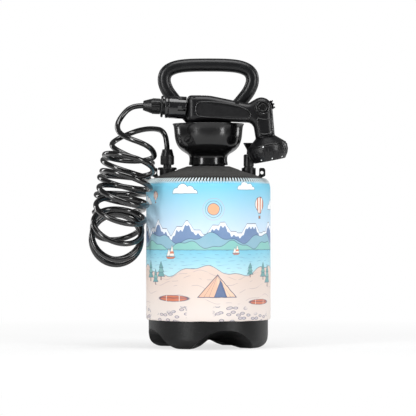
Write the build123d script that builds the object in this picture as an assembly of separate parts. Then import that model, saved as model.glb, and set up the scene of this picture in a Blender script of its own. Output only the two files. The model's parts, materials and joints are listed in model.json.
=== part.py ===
from build123d import *

import os
from math import cos, pi, radians, sin, tan

# Portable pressure shower: a pump tank with a soft sleeve, a coiled hose and a hand rose.
# Millimetres. +Z is up, the tank's axis is the Z axis and the feet stand on Z = 0.
# The front faces -Y. Outlines are lists of corners: (across or radius, height, rounding).

# General clearances
SNUG = 0.2  # between pieces of one assembly that are pushed or screwed together
RUN = 0.08  # radial play of a shaft in its hole
FREE = 0.4  # between pieces that move past each other
TOUCH = 0.02  # between faces that meet

# Tank
TANK_R = 93.0
TANK_WALL = 3.0
BASE_CORNER = 14.0
SHOULDER_Z = 258.3
SHOULDER_ROUND = 14.0
SHOULDER_MID_R = 50.0
SHOULDER_MID_Z = 272.0
NECK_R = 25.5
NECK_FOOT_Z = 281.0
NECK_TOP_Z = 296.0
NECK_FILLET = 4.0
FOOT_COUNT = 4
FOOT_BEARING = -28.0  # of the first foot, from the front towards +X
ARCH_HALF_ANGLE = 40.0
ARCH_HEIGHT = 29.0
ARCH_MIDDLE_HEIGHT = 12.0
DOME_R = 60.0
DOME_HEIGHT = 11.0

# Strap lugs on the shoulder
LUG_IN_X = 79.4
LUG_OUT_X = 88.9
LUG_ROOT_IN_X = 73.0
LUG_ROOT_OUT_X = 82.4
LUG_ROOT_Z = 263.5
LUG_TOP_Z = 279.0
LUG_THICK = 7.0
LUG_HOLE_R = 2.6
LUG_HOLE_X = 83.6
LUG_HOLE_Z = 271.6

# Sleeve and fabric shoulder panel
SLEEVE_THICK = 3.5
SLEEVE_FOOT_Z = 43.3
SEAM_Z = 261.6
SEAM_GAP = 0.3
PANEL_THICK = 2.6
PANEL_NECK_R = 33.0
WINDOW_IN_X = 49.0
WINDOW_OUT_X = 91.5
WINDOW_WIDTH = 34.0

# Funnel
FUNNEL_FOOT_Z = 283.5
FUNNEL_WALL = 2.5
FUNNEL_NECK_R = 29.7
FUNNEL_STEP_Z = 298.0
FUNNEL_BOWL_R = 48.8
FUNNEL_BOWL_Z = 310.5
FUNNEL_THROAT_R = 50.6
FUNNEL_THROAT_Z = 332.0
FUNNEL_RIM_R = 55.4
FUNNEL_RIM_Z = 347.5
FUNNEL_FLOOR = 2.6

# Pump
PISTON_R = 14.2
BARREL_WALL = 2.0
STROKE = 180.0
PISTON_LENGTH = 15.0
COLLAR_R = 26.5
COLLAR_HEIGHT = 19.0
COLLAR_RIBS = 18
COLLAR_RIB_R = 1.3
GUIDE_R = 13.5
GUIDE_HEIGHT = 8.0
GUIDE_DEPTH = 12.0  # of its spigot inside the barrel
ROD_R = 5.0
HANDLE_THICK = 23.0
HANDLE_TOP_Z = 449.7
HANDLE_BAR = 21.7
HANDLE_HALF = 79.7
HANDLE_CORNER = 18.0
HANDLE_CORNER_REACH = 10.8  # of the corner beyond the rounded side
HANDLE_CORNER_DROP = 19.2
HANDLE_CROWN_HALF = 38.0
HANDLE_CROWN = 80.0
HANDLE_SLOPE = 54.0
HANDLE_EDGE = 0.3 * HANDLE_THICK
HANDLE_LOOP_FLOOR_Z = HANDLE_TOP_Z - 72.7
PIN_R = 2.0

# Outlet
OUTLET_X = -64.0
OUTLET_BOSS_R = 12.0
OUTLET_BOSS_Z = 274.2
OUTLET_FLANGE_R = 14.8
OUTLET_FLANGE = 3.9
OUTLET_NECK_R = 6.4
OUTLET_BORE_R = 2.4
GASKET = 1.4
NUT_FOOT_R = 10.7
NUT_TOP_R = 7.6
NUT_LENGTH = 24.4
NUT_RIBS = 14
DIP_R = 4.0
DIP_BORE_R = 2.6
DIP_FOOT_Z = 46.0
FILTER_R = 7.0
FILTER_LENGTH = 18.0

# Relief valve
RELIEF_X = 63.0
RELIEF_BOSS_R = 11.0
RELIEF_BOSS_Z = 279.0
RELIEF_R = 8.0
RELIEF_LENGTH = 19.5
RELIEF_RIBS = 14
RELIEF_STEM_R = 2.0
RELIEF_KNOB_R = 8.3
RELIEF_KNOB_TOP_Z = 318.0
PLUG_R = 4.6
SPRING_WIRE_R = 0.5
SPRING_TURNS = 5

# Hose
HOSE_R = 4.2
COIL_MEAN_R = 40.0
COIL_SHELL = 1.8  # wall of the coil's tube, which then weighs about what the hose's turns do

# Handset
SET_Y = -32.0  # its middle plane, in front of the handle's loop
SET_WIDTH = 33.0
SET_EDGE = 10.5
SET_WALL = 2.6
BUTT_X = -33.0
GRIP_TOP_Z = 390.4
GRIP_FOOT_Z = 348.6
HEAD_X = 82.5
HEAD_Z = 370.3
HEAD_R = 16.5
NECK_END_X = 87.7
NECK_END_Z = 328.2
NECK_END_HALF = 15.0
ROSE_TILT = 11.0
RIB_GROOVES = 7
RIB_PITCH = 3.6
PAD_DEPTH = 1.4
PAD_PROUD = 0.5
LEVER_ANGLE = 20.0
LEVER_TRAVEL = 25.0
SPOOL_R = 5.5
CAP_R = 12.0
CAP_DEPTH = 2.2

# Rose
ROSE_CONE = 16.5
ROSE_R = 31.3
ROSE_FACE_R = 24.3
ROSE_DEPTH = 39.5
ROSE_FLUTES = 24
ROSE_FLUTE_R = 1.5

# Quick connector, measured along its axis from the handset's butt
CONNECTOR_TILT = 3.2
CONNECTOR_Z = 371.1
RELEASE_R = 17.3
RELEASE_LENGTH = 33.6
RING_R = 16.6
RING_START = 37.0
RING_END = 40.6
HOSE_NUT_R = 12.2
HOSE_NUT_END = 54.8
COLLET_END = 68.0
COLLET_TIP_R = 7.4
SPIGOT_R = 6.5
TAIL_FLANGE_R = 9.5
BODY_R = 12.6


def heading(start, end):
    """Unit direction of an outline's stretch."""
    return Vector(end[0] - start[0], end[1] - start[1]).normalized()


def beside(line, wall):
    """An open outline moved to its own left by wall, its roundings following."""
    moved = []
    last = len(line) - 1
    for i, (across, up, rounding) in enumerate(line):
        arriving = heading(line[max(i, 1) - 1], line[max(i, 1)])
        leaving = heading(line[min(i, last - 1)], line[min(i, last - 1) + 1])
        mitre = (arriving + leaving) * (1 / (1 + arriving.dot(leaving)))
        turns_left = arriving.cross(leaving).Z > 0
        new_round = rounding - wall if turns_left else rounding + wall
        rounded = rounding > 0 and 0 < i < last
        moved.append((across - mitre.Y * wall, up + mitre.X * wall, max(new_round, 0) if rounded else 0))
    return moved


def rounded_corner(before, here, after, rounding):
    """Start, middle and end of the arc that rounds one corner of an outline."""
    back = (before - here).normalized()
    onward = (after - here).normalized()
    half = radians(back.get_angle(onward) / 2)
    reach = rounding / tan(half)
    middle = here + (back + onward).normalized() * (rounding / sin(half) - rounding)
    return here + back * reach, middle, here + onward * reach


def widest_round(before, here, after):
    """The largest rounding of a corner that leaves a little of both its sides straight."""
    turn = radians((here - before).get_angle(after - here))
    return 0.45 * min((here - before).length, (after - here).length) / tan(turn / 2)


def flat(corners):
    """The face inside an outline, in the XZ plane."""
    points = [Vector(across, 0, up) for across, up, rounding in corners]
    arcs = []
    for i, corner in enumerate(corners):
        if corner[2] > 0:
            arcs.append(rounded_corner(points[i - 1], points[i], points[(i + 1) % len(points)], corner[2]))
        else:
            arcs.append((points[i],))
    edges = []
    for arc, following in zip(arcs, arcs[1:] + arcs[:1]):
        if len(arc) == 3:
            edges.append(ThreePointArc(*arc))
        if (following[0] - arc[-1]).length > 1e-4:
            edges.append(Line(arc[-1], following[0]))
    return make_face(edges)


def turned(corners):
    """The outline turned once round the Z axis."""
    return revolve(flat(corners), Axis.Z)


def ring(outer_r, inner_r, low_z, high_z):
    """A plain tube about the Z axis."""
    corners = [(inner_r, low_z, 0), (outer_r, low_z, 0), (outer_r, high_z, 0), (inner_r, high_z, 0)]
    return turned(corners)


def rod(radius, low_z, high_z):
    """A plain round bar about the Z axis."""
    return turned([(0, low_z, 0), (radius, low_z, 0), (radius, high_z, 0), (0, high_z, 0)])


def seal(middle_r, section_r, height):
    """An O-ring about the Z axis."""
    return Pos(0, 0, height) * Torus(middle_r, section_r)


def around(piece, count, start=0.0):
    """Copies of a piece spread evenly round the Z axis."""
    return [Rot(0, 0, start + 360 * i / count) * piece for i in range(count)]


def thickened(face, thick, middle_y=0.0):
    """A face of the XZ plane made thick along Y, about middle_y."""
    return extrude(Pos(0, middle_y - thick / 2, 0) * face, thick, dir=(0, 1, 0))


def slab(corners, thick, middle_y=0.0):
    """An XZ outline made thick along Y, about middle_y."""
    return thickened(flat(corners), thick, middle_y)


def helix_spring(mean_r, low_z, high_z):
    """A round wire spring about the Z axis, its end turns inside the two heights."""
    low = low_z + SPRING_WIRE_R + SNUG
    height = high_z - SPRING_WIRE_R - SNUG - low
    path = Pos(0, 0, low) * Helix(height / SPRING_TURNS, height, mean_r)
    start = Plane(origin=path @ 0, z_dir=path % 0)
    return sweep(start * Circle(SPRING_WIRE_R), path)


# Tank

TANK_LINE = [
    (0, 0, 0),
    (TANK_R, 0, BASE_CORNER),
    (TANK_R, SHOULDER_Z, SHOULDER_ROUND),
    (SHOULDER_MID_R, SHOULDER_MID_Z, 60),
    (NECK_R, NECK_FOOT_Z, NECK_FILLET),
    (NECK_R, NECK_TOP_Z, 0),
]
ARCH_SPREAD = tan(radians(ARCH_HALF_ANGLE))
VALLEY_BEARING = FOOT_BEARING + 180 / FOOT_COUNT - 90  # from +X, as Rot counts


def arch_section(distance, grow):
    """The bell-shaped outline of the hollow between two feet, at a distance from the middle."""
    half = 2 + ARCH_SPREAD * distance + 1.3 * grow
    top = ARCH_MIDDLE_HEIGHT + (ARCH_HEIGHT - ARCH_MIDDLE_HEIGHT) * distance / TANK_R + grow
    edge = Vector(1.3 * half, -0.1 * half)
    foot = Vector(0.86 * half, 0)
    crest = Vector(0.24 * half, top)
    other_crest = Vector(-crest.X, top)
    right = [
        (edge.X, edge.Y, 0),
        (foot.X, foot.Y, widest_round(edge, foot, crest)),
        (crest.X, crest.Y, widest_round(foot, crest, other_crest)),
    ]
    bell = flat(right + [(-across, up, rounding) for across, up, rounding in right[::-1]])
    return Plane.YZ.offset(distance) * Plane.XZ.to_local_coords(bell)


def base_arch(grow):
    """The hollow between two feet, which widens and rises towards the wall."""
    return loft([arch_section(2, grow), arch_section(1.2 * TANK_R, grow)])


def tank_form(inset, above=0.0):
    """The tank's outside, or with an inset the space inside its wall."""
    line = beside(TANK_LINE, inset) if inset else list(TANK_LINE)
    top = NECK_TOP_Z + above
    line[-1] = (line[-1][0], top, 0)
    form = turned(line + [(0, top, 0)])
    form -= around(base_arch(inset), FOOT_COUNT, VALLEY_BEARING)
    ball_r = (DOME_R**2 + DOME_HEIGHT**2) / (2 * DOME_HEIGHT)
    return form - Pos(0, 0, DOME_HEIGHT - ball_r) * Sphere(ball_r + inset)


def lug(side):
    """A strap lug that stands on the shoulder on a narrower root, its hole along Y."""
    foot = SHOULDER_Z - TANK_WALL
    corners = [
        (LUG_ROOT_IN_X, foot, 0),
        (LUG_ROOT_OUT_X, foot, 0),
        (LUG_ROOT_OUT_X, LUG_ROOT_Z, 1.5),
        (LUG_OUT_X, LUG_ROOT_Z + 3, 2.0),
        (LUG_OUT_X, LUG_TOP_Z, 4.0),
        (LUG_IN_X, LUG_TOP_Z, 2.0),
        (LUG_IN_X, LUG_ROOT_Z + 6, 3.0),
    ]
    tab = slab(corners, LUG_THICK)
    tab -= Pos(LUG_HOLE_X, 0, LUG_HOLE_Z) * Rot(90, 0, 0) * Cylinder(LUG_HOLE_R, 2 * LUG_THICK)
    return tab if side > 0 else mirror(tab, Plane.YZ)


def make_tank():
    boss_foot = SHOULDER_Z
    tank = tank_form(0)
    tank += Pos(OUTLET_X, 0, 0) * rod(OUTLET_BOSS_R, boss_foot, OUTLET_BOSS_Z)
    tank += Pos(RELIEF_X, 0, 0) * rod(RELIEF_BOSS_R, boss_foot, RELIEF_BOSS_Z)
    tank += lug(1) + lug(-1)
    tank -= tank_form(TANK_WALL, above=1)
    tank -= Pos(OUTLET_X, 0, 0) * rod(OUTLET_NECK_R + SNUG, boss_foot - 20, OUTLET_BOSS_Z + 1)
    tank -= Pos(RELIEF_X, 0, 0) * rod(PLUG_R + 1.4 + SNUG, boss_foot - 20, RELIEF_BOSS_Z + 1)
    return tank


def cover(thick):
    """A soft layer that lies over the whole tank, SNUG away from it."""
    inner = beside(TANK_LINE[1:], -SNUG)
    outer = beside(TANK_LINE[1:], -SNUG - thick)
    return turned(outer + inner[::-1])


def make_sleeve_wrap():
    band = ring(1.3 * TANK_R, NECK_R, SLEEVE_FOOT_Z, SEAM_Z)
    return cover(SLEEVE_THICK) & band


def make_sleeve_top_panel():
    band = ring(1.3 * TANK_R, PANEL_NECK_R, SEAM_Z + SEAM_GAP, NECK_TOP_Z)
    middle = (WINDOW_IN_X + WINDOW_OUT_X) / 2
    window = extrude(RectangleRounded(WINDOW_OUT_X - WINDOW_IN_X, WINDOW_WIDTH, 10), 2 * NECK_TOP_Z)
    return (cover(PANEL_THICK) & band) - Pos(middle, 0, 0) * window - Pos(-middle, 0, 0) * window


# Funnel

FUNNEL_LINE = [
    (FUNNEL_NECK_R, FUNNEL_FOOT_Z, 0),
    (FUNNEL_NECK_R, FUNNEL_STEP_Z, 9),
    (FUNNEL_BOWL_R, FUNNEL_BOWL_Z, 20),
    (FUNNEL_THROAT_R, FUNNEL_THROAT_Z, 40),
    (FUNNEL_RIM_R, FUNNEL_RIM_Z, 0),
]
FLOOR_Z = NECK_TOP_Z + SNUG
FLOOR_TOP_Z = FLOOR_Z + FUNNEL_FLOOR


def make_funnel():
    inner = beside(FUNNEL_LINE, FUNNEL_WALL)
    inner[-1] = (inner[-1][0], FUNNEL_RIM_Z, 0)
    bowl = turned(FUNNEL_LINE + inner[::-1])
    floor = ring(FUNNEL_NECK_R + 1, NECK_R - TANK_WALL, FLOOR_Z, FLOOR_TOP_Z)
    bead = seal(FUNNEL_RIM_R - 1.1, 1.5, FUNNEL_RIM_Z - 0.9)
    return bowl + floor + bead - ring(NECK_R + SNUG, 1, FUNNEL_FOOT_Z - 1, FLOOR_Z)


# Pump

BARREL_R = PISTON_R + RUN + BARREL_WALL
COLLAR_TOP_Z = FLOOR_TOP_Z + SNUG + COLLAR_HEIGHT
HUB_Z = COLLAR_TOP_Z + GUIDE_HEIGHT + FREE
TOP_SPARE = 2.0  # left between piston and guide with the handle fully up
PISTON_Z = COLLAR_TOP_Z - GUIDE_DEPTH - TOP_SPARE - STROKE - PISTON_LENGTH
BARREL_FOOT_Z = PISTON_Z - 8.0


def make_pump_collar():
    foot = FLOOR_TOP_Z + SNUG
    spigot_foot = NECK_FOOT_Z
    spigot_r = NECK_R - TANK_WALL - SNUG
    bore = BARREL_R + SNUG
    corners = [
        (bore, spigot_foot, 0),
        (spigot_r, spigot_foot, 0),
        (spigot_r, foot, 0),
        (COLLAR_R, foot, 0),
        (COLLAR_R, COLLAR_TOP_Z, 3),
        (bore, COLLAR_TOP_Z, 0),
    ]
    collar = turned(corners)
    groove = seal(spigot_r, 1.3, foot - 6)
    rib = Pos(COLLAR_R, 0, 0) * rod(COLLAR_RIB_R, foot, COLLAR_TOP_Z - 3)
    return collar - groove + around(rib, COLLAR_RIBS)


def make_collar_seal():
    section = 0.7
    return seal(NECK_R - TANK_WALL - 0.02 - section, section, FLOOR_TOP_Z + SNUG - 6)


def make_pump_barrel():
    top = COLLAR_TOP_Z - 2.0
    bore = PISTON_R + RUN
    corners = [
        (3.0, BARREL_FOOT_Z, 0),
        (BARREL_R, BARREL_FOOT_Z, 3),
        (BARREL_R, top, 0),
        (bore, top, 0),
        (bore, BARREL_FOOT_Z + 4, 1),
        (3.0, BARREL_FOOT_Z + 4, 0),
    ]
    return turned(corners)


def make_foot_valve():
    low = BARREL_FOOT_Z
    corners = [
        (0, low - 3.4, 0),
        (9.0, low - 1.8, 0),
        (9.0, low - SNUG, 0),
        (2.9, low - SNUG, 0),
        (2.9, low + 4.4, 0),
        (3.8, low + 4.4, 0),
        (2.4, low + 7.4, 0),
        (0, low + 7.4, 0),
    ]
    return turned(corners)


def make_rod_guide():
    corners = [
        (ROD_R + RUN, COLLAR_TOP_Z - GUIDE_DEPTH, 0),
        (PISTON_R - SNUG, COLLAR_TOP_Z - GUIDE_DEPTH, 0),
        (PISTON_R - SNUG, COLLAR_TOP_Z + SNUG, 0),
        (BARREL_R + 4, COLLAR_TOP_Z + SNUG, 0),
        (BARREL_R + 4, COLLAR_TOP_Z + 3.2, 1),
        (GUIDE_R, COLLAR_TOP_Z + 3.2, 0),
        (GUIDE_R, COLLAR_TOP_Z + GUIDE_HEIGHT, 2),
        (ROD_R + RUN, COLLAR_TOP_Z + GUIDE_HEIGHT, 0),
    ]
    return turned(corners)


def make_piston():
    low = PISTON_Z
    groove_low = low + PISTON_LENGTH / 2 - 1.6
    groove_high = low + PISTON_LENGTH / 2 + 1.6
    neck = PISTON_R - 2.6
    corners = [
        (0, low, 0),
        (PISTON_R - 0.3, low, 1),
        (PISTON_R - 0.3, groove_low, 0),
        (neck, groove_low, 0),
        (neck, groove_high, 0),
        (PISTON_R - 0.3, groove_high, 0),
        (PISTON_R - 0.3, low + PISTON_LENGTH, 1),
        (ROD_R + SNUG, low + PISTON_LENGTH, 0),
        (ROD_R + SNUG, low + 4, 0),
        (0, low + 4, 0),
    ]
    return turned(corners)


def make_piston_seal():
    return seal(PISTON_R - 1.3 + 0.02, 1.26, PISTON_Z + PISTON_LENGTH / 2)


def make_pump_rod():
    body = rod(ROD_R, PISTON_Z + 4 + SNUG, HUB_Z + 22)
    return body - pin_hole(PIN_R + SNUG)


def pin_hole(radius):
    """The cross hole for the pin through handle and rod."""
    return Pos(0, 0, HUB_Z + 12) * Rot(90, 0, 0) * Cylinder(radius, 2 * HANDLE_THICK)


def handle_loop():
    """Right half of the handle's outline: its crowned top, its corner and the foot of its leg."""
    corner_x = HANDLE_HALF + HANDLE_CORNER_REACH
    corner_z = HANDLE_TOP_Z - HANDLE_CORNER_DROP
    foot_half = corner_x - (corner_z - HUB_Z) / tan(radians(HANDLE_SLOPE))
    return [
        (HANDLE_CROWN_HALF, HANDLE_TOP_Z, HANDLE_CROWN),
        (corner_x, corner_z, HANDLE_CORNER),
        (foot_half, HUB_Z, 0),
    ]


def mirrored(half):
    """A closed outline from its right half, listed from the top down."""
    return half + [(-across, up, rounding) for across, up, rounding in half[::-1]]


def make_pump_handle():
    inner = [
        (HANDLE_HALF - HANDLE_BAR + 3, HANDLE_TOP_Z - HANDLE_BAR, 14),
        (HANDLE_HALF - HANDLE_BAR - 3.5, HANDLE_TOP_Z - 45, 15),
        (HANDLE_HALF - 54.7, HANDLE_LOOP_FLOOR_Z, 20),
    ]
    handle = thickened(flat(mirrored(handle_loop())) - flat(mirrored(inner)), HANDLE_THICK)
    sides = handle.faces().sort_by(Axis.Y)
    rims = [edge for edge in sides[0].edges() + sides[-1].edges() if edge.center().Z > HUB_Z + 1]
    handle = fillet(rims, HANDLE_EDGE)
    handle -= rod(ROD_R + SNUG, HUB_Z - 1, HUB_Z + 22 + SNUG)
    return handle - pin_hole(PIN_R + SNUG)


def make_handle_pin():
    return Pos(0, 0, HUB_Z + 12) * Rot(90, 0, 0) * Cylinder(PIN_R, HANDLE_THICK - 3)


# Outlet

FLANGE_Z = OUTLET_BOSS_Z + GASKET + SNUG
NUT_Z = FLANGE_Z + OUTLET_FLANGE + 4.0
NUT_TOP_Z = NUT_Z + NUT_LENGTH
BARB_Z = NUT_TOP_Z - 12.0


def make_outlet_fitting():
    corners = [
        (OUTLET_BORE_R, SHOULDER_Z - 8, 0),
        (OUTLET_NECK_R, SHOULDER_Z - 8, 0),
        (OUTLET_NECK_R, FLANGE_Z, 0),
        (OUTLET_FLANGE_R, FLANGE_Z, 0.8),
        (OUTLET_FLANGE_R, FLANGE_Z + OUTLET_FLANGE, 1.6),
        (OUTLET_NECK_R, FLANGE_Z + OUTLET_FLANGE, 0),
        (OUTLET_NECK_R, BARB_Z - 3, 0),
        (HOSE_R, BARB_Z, 0),
        (OUTLET_BORE_R, BARB_Z, 0),
    ]
    fitting = turned(corners)
    socket = rod(DIP_R + SNUG, SHOULDER_Z - 9, SHOULDER_Z - 1)
    return Pos(OUTLET_X, 0, 0) * (fitting - socket)


def make_outlet_gasket():
    top = OUTLET_BOSS_Z + GASKET
    return Pos(OUTLET_X, 0, 0) * ring(OUTLET_BOSS_R, OUTLET_NECK_R + SNUG, OUTLET_BOSS_Z, top)


def fluted_nut(foot_r, top_r, length, taper_from, bore_r, ribs):
    """A clamp nut on Z = 0 with grip ribs and a tapered nose."""
    nose_z = length * taper_from
    corners = [
        (bore_r, 0, 0),
        (foot_r - 0.8, 0, 0.6),
        (foot_r - 0.8, nose_z, 1.5),
        (top_r, length, 1.0),
        (bore_r, length, 0),
    ]
    rib = Pos(foot_r - 0.9, 0, 0) * rod(0.9, 1.0, nose_z - 1)
    return turned(corners) + around(rib, ribs)


def make_hose_nut_tank():
    nut = fluted_nut(NUT_FOOT_R, NUT_TOP_R, NUT_LENGTH, 0.62, HOSE_R + SNUG, NUT_RIBS)
    nut -= rod(OUTLET_NECK_R + SNUG, -1, BARB_Z - NUT_Z + SNUG)
    return Pos(OUTLET_X, 0, NUT_Z) * nut


def make_dip_tube():
    return Pos(OUTLET_X, 0, 0) * ring(DIP_R, DIP_BORE_R, DIP_FOOT_Z, SHOULDER_Z - 1 - SNUG)


def make_dip_filter():
    low = DIP_FOOT_Z - FILTER_LENGTH + 6
    corners = [
        (0, low, 0),
        (FILTER_R, low, 1.5),
        (FILTER_R, low + FILTER_LENGTH, 1.5),
        (DIP_R + SNUG, low + FILTER_LENGTH, 0),
        (DIP_R + SNUG, DIP_FOOT_Z - SNUG, 0),
        (DIP_BORE_R, DIP_FOOT_Z - SNUG, 0),
        (DIP_BORE_R, low + 2, 0),
        (0, low + 2, 0),
    ]
    slot = Pos(FILTER_R, 0, low + 6) * Box(3 * FILTER_R / 2, 1.6, 7)
    return Pos(OUTLET_X, 0, 0) * (turned(corners) - around(slot, 6))


# Relief valve

RELIEF_FOOT_Z = RELIEF_BOSS_Z + GASKET + SNUG
RELIEF_TOP_Z = RELIEF_FOOT_Z + RELIEF_LENGTH
SEAT_Z = RELIEF_FOOT_Z - 4.0
PLUG_TOP_Z = SEAT_Z + 3.4
CHAMBER_TOP_Z = RELIEF_TOP_Z - 3.0


def make_relief_body():
    spigot_r = PLUG_R + 1.4
    foot = SHOULDER_Z - 4
    corners = [
        (1.8, foot, 0),
        (spigot_r, foot, 0),
        (spigot_r, RELIEF_FOOT_Z, 0),
        (RELIEF_R - 0.7, RELIEF_FOOT_Z, 0.5),
        (RELIEF_R - 0.7, RELIEF_TOP_Z, 1.2),
        (RELIEF_STEM_R + RUN, RELIEF_TOP_Z, 0),
        (RELIEF_STEM_R + RUN, CHAMBER_TOP_Z, 0),
        (PLUG_R + 0.3, CHAMBER_TOP_Z, 0),
        (PLUG_R + 0.3, SEAT_Z, 0),
        (1.8, SEAT_Z, 0),
    ]
    rib = Pos(RELIEF_R - 0.8, 0, 0) * rod(0.8, RELIEF_FOOT_Z + 1, RELIEF_TOP_Z - 1.4)
    vent = Pos(0, 0, CHAMBER_TOP_Z - 3) * Rot(90, 0, 0) * Cylinder(1.2, 3 * RELIEF_R)
    return Pos(RELIEF_X, 0, 0) * (turned(corners) + around(rib, RELIEF_RIBS) - vent)


def make_relief_gasket():
    return Pos(RELIEF_X, 0, 0) * ring(RELIEF_R, PLUG_R + 1.4 + SNUG, RELIEF_BOSS_Z, RELIEF_BOSS_Z + GASKET)


def make_relief_plug():
    return Pos(RELIEF_X, 0, 0) * rod(PLUG_R, SEAT_Z + 0.02, PLUG_TOP_Z)


def make_relief_knob():
    flare_z = RELIEF_KNOB_TOP_Z - 11
    corners = [
        (0, PLUG_TOP_Z, 0),
        (RELIEF_STEM_R, PLUG_TOP_Z, 0),
        (RELIEF_STEM_R, RELIEF_TOP_Z + FREE, 0),
        (RELIEF_STEM_R + 1.3, RELIEF_TOP_Z + FREE, 0.4),
        (RELIEF_STEM_R + 0.8, flare_z, 4),
        (RELIEF_KNOB_R - 1, RELIEF_KNOB_TOP_Z - 2.6, 3),
        (RELIEF_KNOB_R, RELIEF_KNOB_TOP_Z - 1.4, 0.4),
        (RELIEF_KNOB_R, RELIEF_KNOB_TOP_Z, 0.5),
        (0, RELIEF_KNOB_TOP_Z, 0),
    ]
    return Pos(RELIEF_X, 0, 0) * turned(corners)


def make_relief_spring():
    return Pos(RELIEF_X, 0, 0) * helix_spring(RELIEF_STEM_R + 1.3, PLUG_TOP_Z, CHAMBER_TOP_Z)


# Handset

def tangent_corner(angle_a, angle_b):
    """Where two tangents of the head's circle meet, and the circle as rounding."""
    middle = radians((angle_a + angle_b) / 2)
    reach = HEAD_R / cos(radians((angle_a - angle_b) / 2))
    return (HEAD_X + reach * cos(middle), HEAD_Z + reach * sin(middle), HEAD_R)


def neck_end(side):
    """Corner of the neck's end, square to the rose's axis."""
    tilt = radians(ROSE_TILT)
    return (NECK_END_X + side * NECK_END_HALF * cos(tilt), NECK_END_Z + side * NECK_END_HALF * sin(tilt), 0)


SET_LINE = [
    neck_end(-1),
    neck_end(1),
    tangent_corner(65, 5),
    tangent_corner(125, 65),
    (61.5, 377.8, 8),
    (0, GRIP_TOP_Z, 90),
    (BUTT_X, GRIP_TOP_Z, 7),
    (BUTT_X, GRIP_FOOT_Z, 7),
    (9, 351, 150),
    (69.3, 348.0, 11),
]


def closed_beside(line, wall):
    """A closed outline moved to its own left by wall."""
    wrapped = [line[-1]] + line + [line[0]]
    return beside(wrapped, wall)[1:-1]


def set_form(inset):
    """The handset's outside, or with an inset the space inside its wall."""
    line = closed_beside(SET_LINE, inset) if inset else SET_LINE
    form = slab(line, SET_WIDTH - 2 * inset)
    edge = SET_EDGE - inset
    sides = form.faces().sort_by(Axis.Y)
    tilt = radians(ROSE_TILT)
    end_line = Plane(origin=(NECK_END_X, 0, NECK_END_Z), z_dir=(sin(tilt), 0, -cos(tilt)))
    rims = [
        rim
        for rim in sides[0].edges() + sides[-1].edges()
        if abs(end_line.to_local_coords(rim.center()).Z) > inset + 1 and rim.center().X > BUTT_X + inset + 1
    ]
    return Pos(0, SET_Y, 0) * fillet(rims, edge)


def along_set(piece, x, z, y=None):
    """A piece built about Z, laid along Y at a place of the handset."""
    return Pos(x, SET_Y if y is None else y, z) * Rot(90, 0, 0) * piece


ROSE_PLACE = Pos(NECK_END_X, SET_Y, NECK_END_Z) * Rot(0, 180 - ROSE_TILT, 0)
CONNECTOR_PLACE = Pos(BUTT_X, SET_Y, CONNECTOR_Z) * Rot(0, -90 + CONNECTOR_TILT, 0)


def make_shells():
    """The two halves of the handset's casing, split on its middle plane."""
    shell = set_form(0) - set_form(SET_WALL)
    for i in range(RIB_GROOVES):
        x = -10.0 + i * RIB_PITCH
        shell -= Pos(x, SET_Y, GRIP_TOP_Z) * Box(1.3, SET_WIDTH + 2, 1.6)
    pad_pocket = pad_outline(0)
    for side in (-1, 1):
        face_y = SET_Y + side * SET_WIDTH / 2
        shell -= slab(pad_pocket, 2 * PAD_DEPTH, face_y)
    shell -= along_set(rod(CAP_R + SNUG, SET_WIDTH / 2 - CAP_DEPTH - SNUG, SET_WIDTH / 2 + 1), HEAD_X, HEAD_Z)
    shell -= along_set(rod(SPOOL_R + FREE, SET_WIDTH / 2 - 5, SET_WIDTH / 2 + 1), HEAD_X, HEAD_Z)
    shell -= lever_slot()
    shell -= ROSE_PLACE * rod(8.0 + SNUG, -10, 10)
    shell -= CONNECTOR_PLACE * rod(SPIGOT_R + SNUG, -10, 10)
    for x, z in SCREW_PLACES:
        post = along_set(rod(3.2, -SET_WIDTH / 2 + SET_WALL - 1, SET_WIDTH / 2 - SET_WALL + 1), x, z)
        shell += post
        shell -= along_set(rod(1.4, -SET_WIDTH / 2 + 4, SET_WIDTH / 2 - 4), x, z)
        shell -= along_set(rod(2.6, -SET_WIDTH / 2 - 1, -SET_WIDTH / 2 + 4), x, z)
    middle = Plane.XZ.offset(-SET_Y)
    front = split(shell, bisect_by=middle, keep=Keep.TOP)
    back = split(shell, bisect_by=middle, keep=Keep.BOTTOM)
    return front, back


SCREW_PLACES = [(-22, 355.5), (-22, 384.0), (56, 353.5), (44, 377.2)]


def pad_outline(inset):
    """The soft inset on the grip's side."""
    line = [(-19.8, 365.2, 3), (-12.8, 359.4, 4), (61.0, 357.0, 3), (60.5, 368.5, 3), (-12.7, 379.5, 6)]
    return closed_beside(line, inset) if inset else line


def make_grip_pad(side):
    """A soft pad that fills the pocket in one side of the grip."""
    depth = PAD_DEPTH - SNUG + PAD_PROUD
    middle = SET_Y + side * (SET_WIDTH / 2 + (PAD_PROUD - PAD_DEPTH + SNUG) / 2)
    return slab(pad_outline(SNUG), depth, middle)


def make_shell_screws():
    """Screws that hold the two halves together, driven from the back."""
    head = rod(2.4, -SET_WIDTH / 2 + 1.4, -SET_WIDTH / 2 + 3.9)
    shank = rod(1.3, -SET_WIDTH / 2 + 3.9, SET_WIDTH / 2 - 5)
    return [along_set(head + shank, x, z) for x, z in SCREW_PLACES]


def lever_sector(inner_r, outer_r, from_angle, to_angle, width):
    """A block between two radii and two angles about the head's pivot."""
    band = ring(outer_r, inner_r, -width / 2, width / 2)
    reach = 3 * HEAD_R
    middle = radians((from_angle + to_angle) / 2)
    half = radians((to_angle - from_angle) / 2)
    points = [(0, 0)]
    points += [(reach * cos(middle + turn), reach * sin(middle + turn)) for turn in (-half, half)]
    wedge = extrude(make_face(Polyline(*points, close=True)), width, both=True)
    return along_set(band & wedge, HEAD_X, HEAD_Z)


TAB_HALF = 9.0
TAB_WIDTH = 9.0


def lever_slot():
    return lever_sector(
        HEAD_R - SET_WALL - 1,
        HEAD_R + 1,
        LEVER_ANGLE - TAB_HALF - 2,
        LEVER_ANGLE + TAB_HALF + LEVER_TRAVEL + 2,
        TAB_WIDTH + 2 * FREE,
    )


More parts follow.
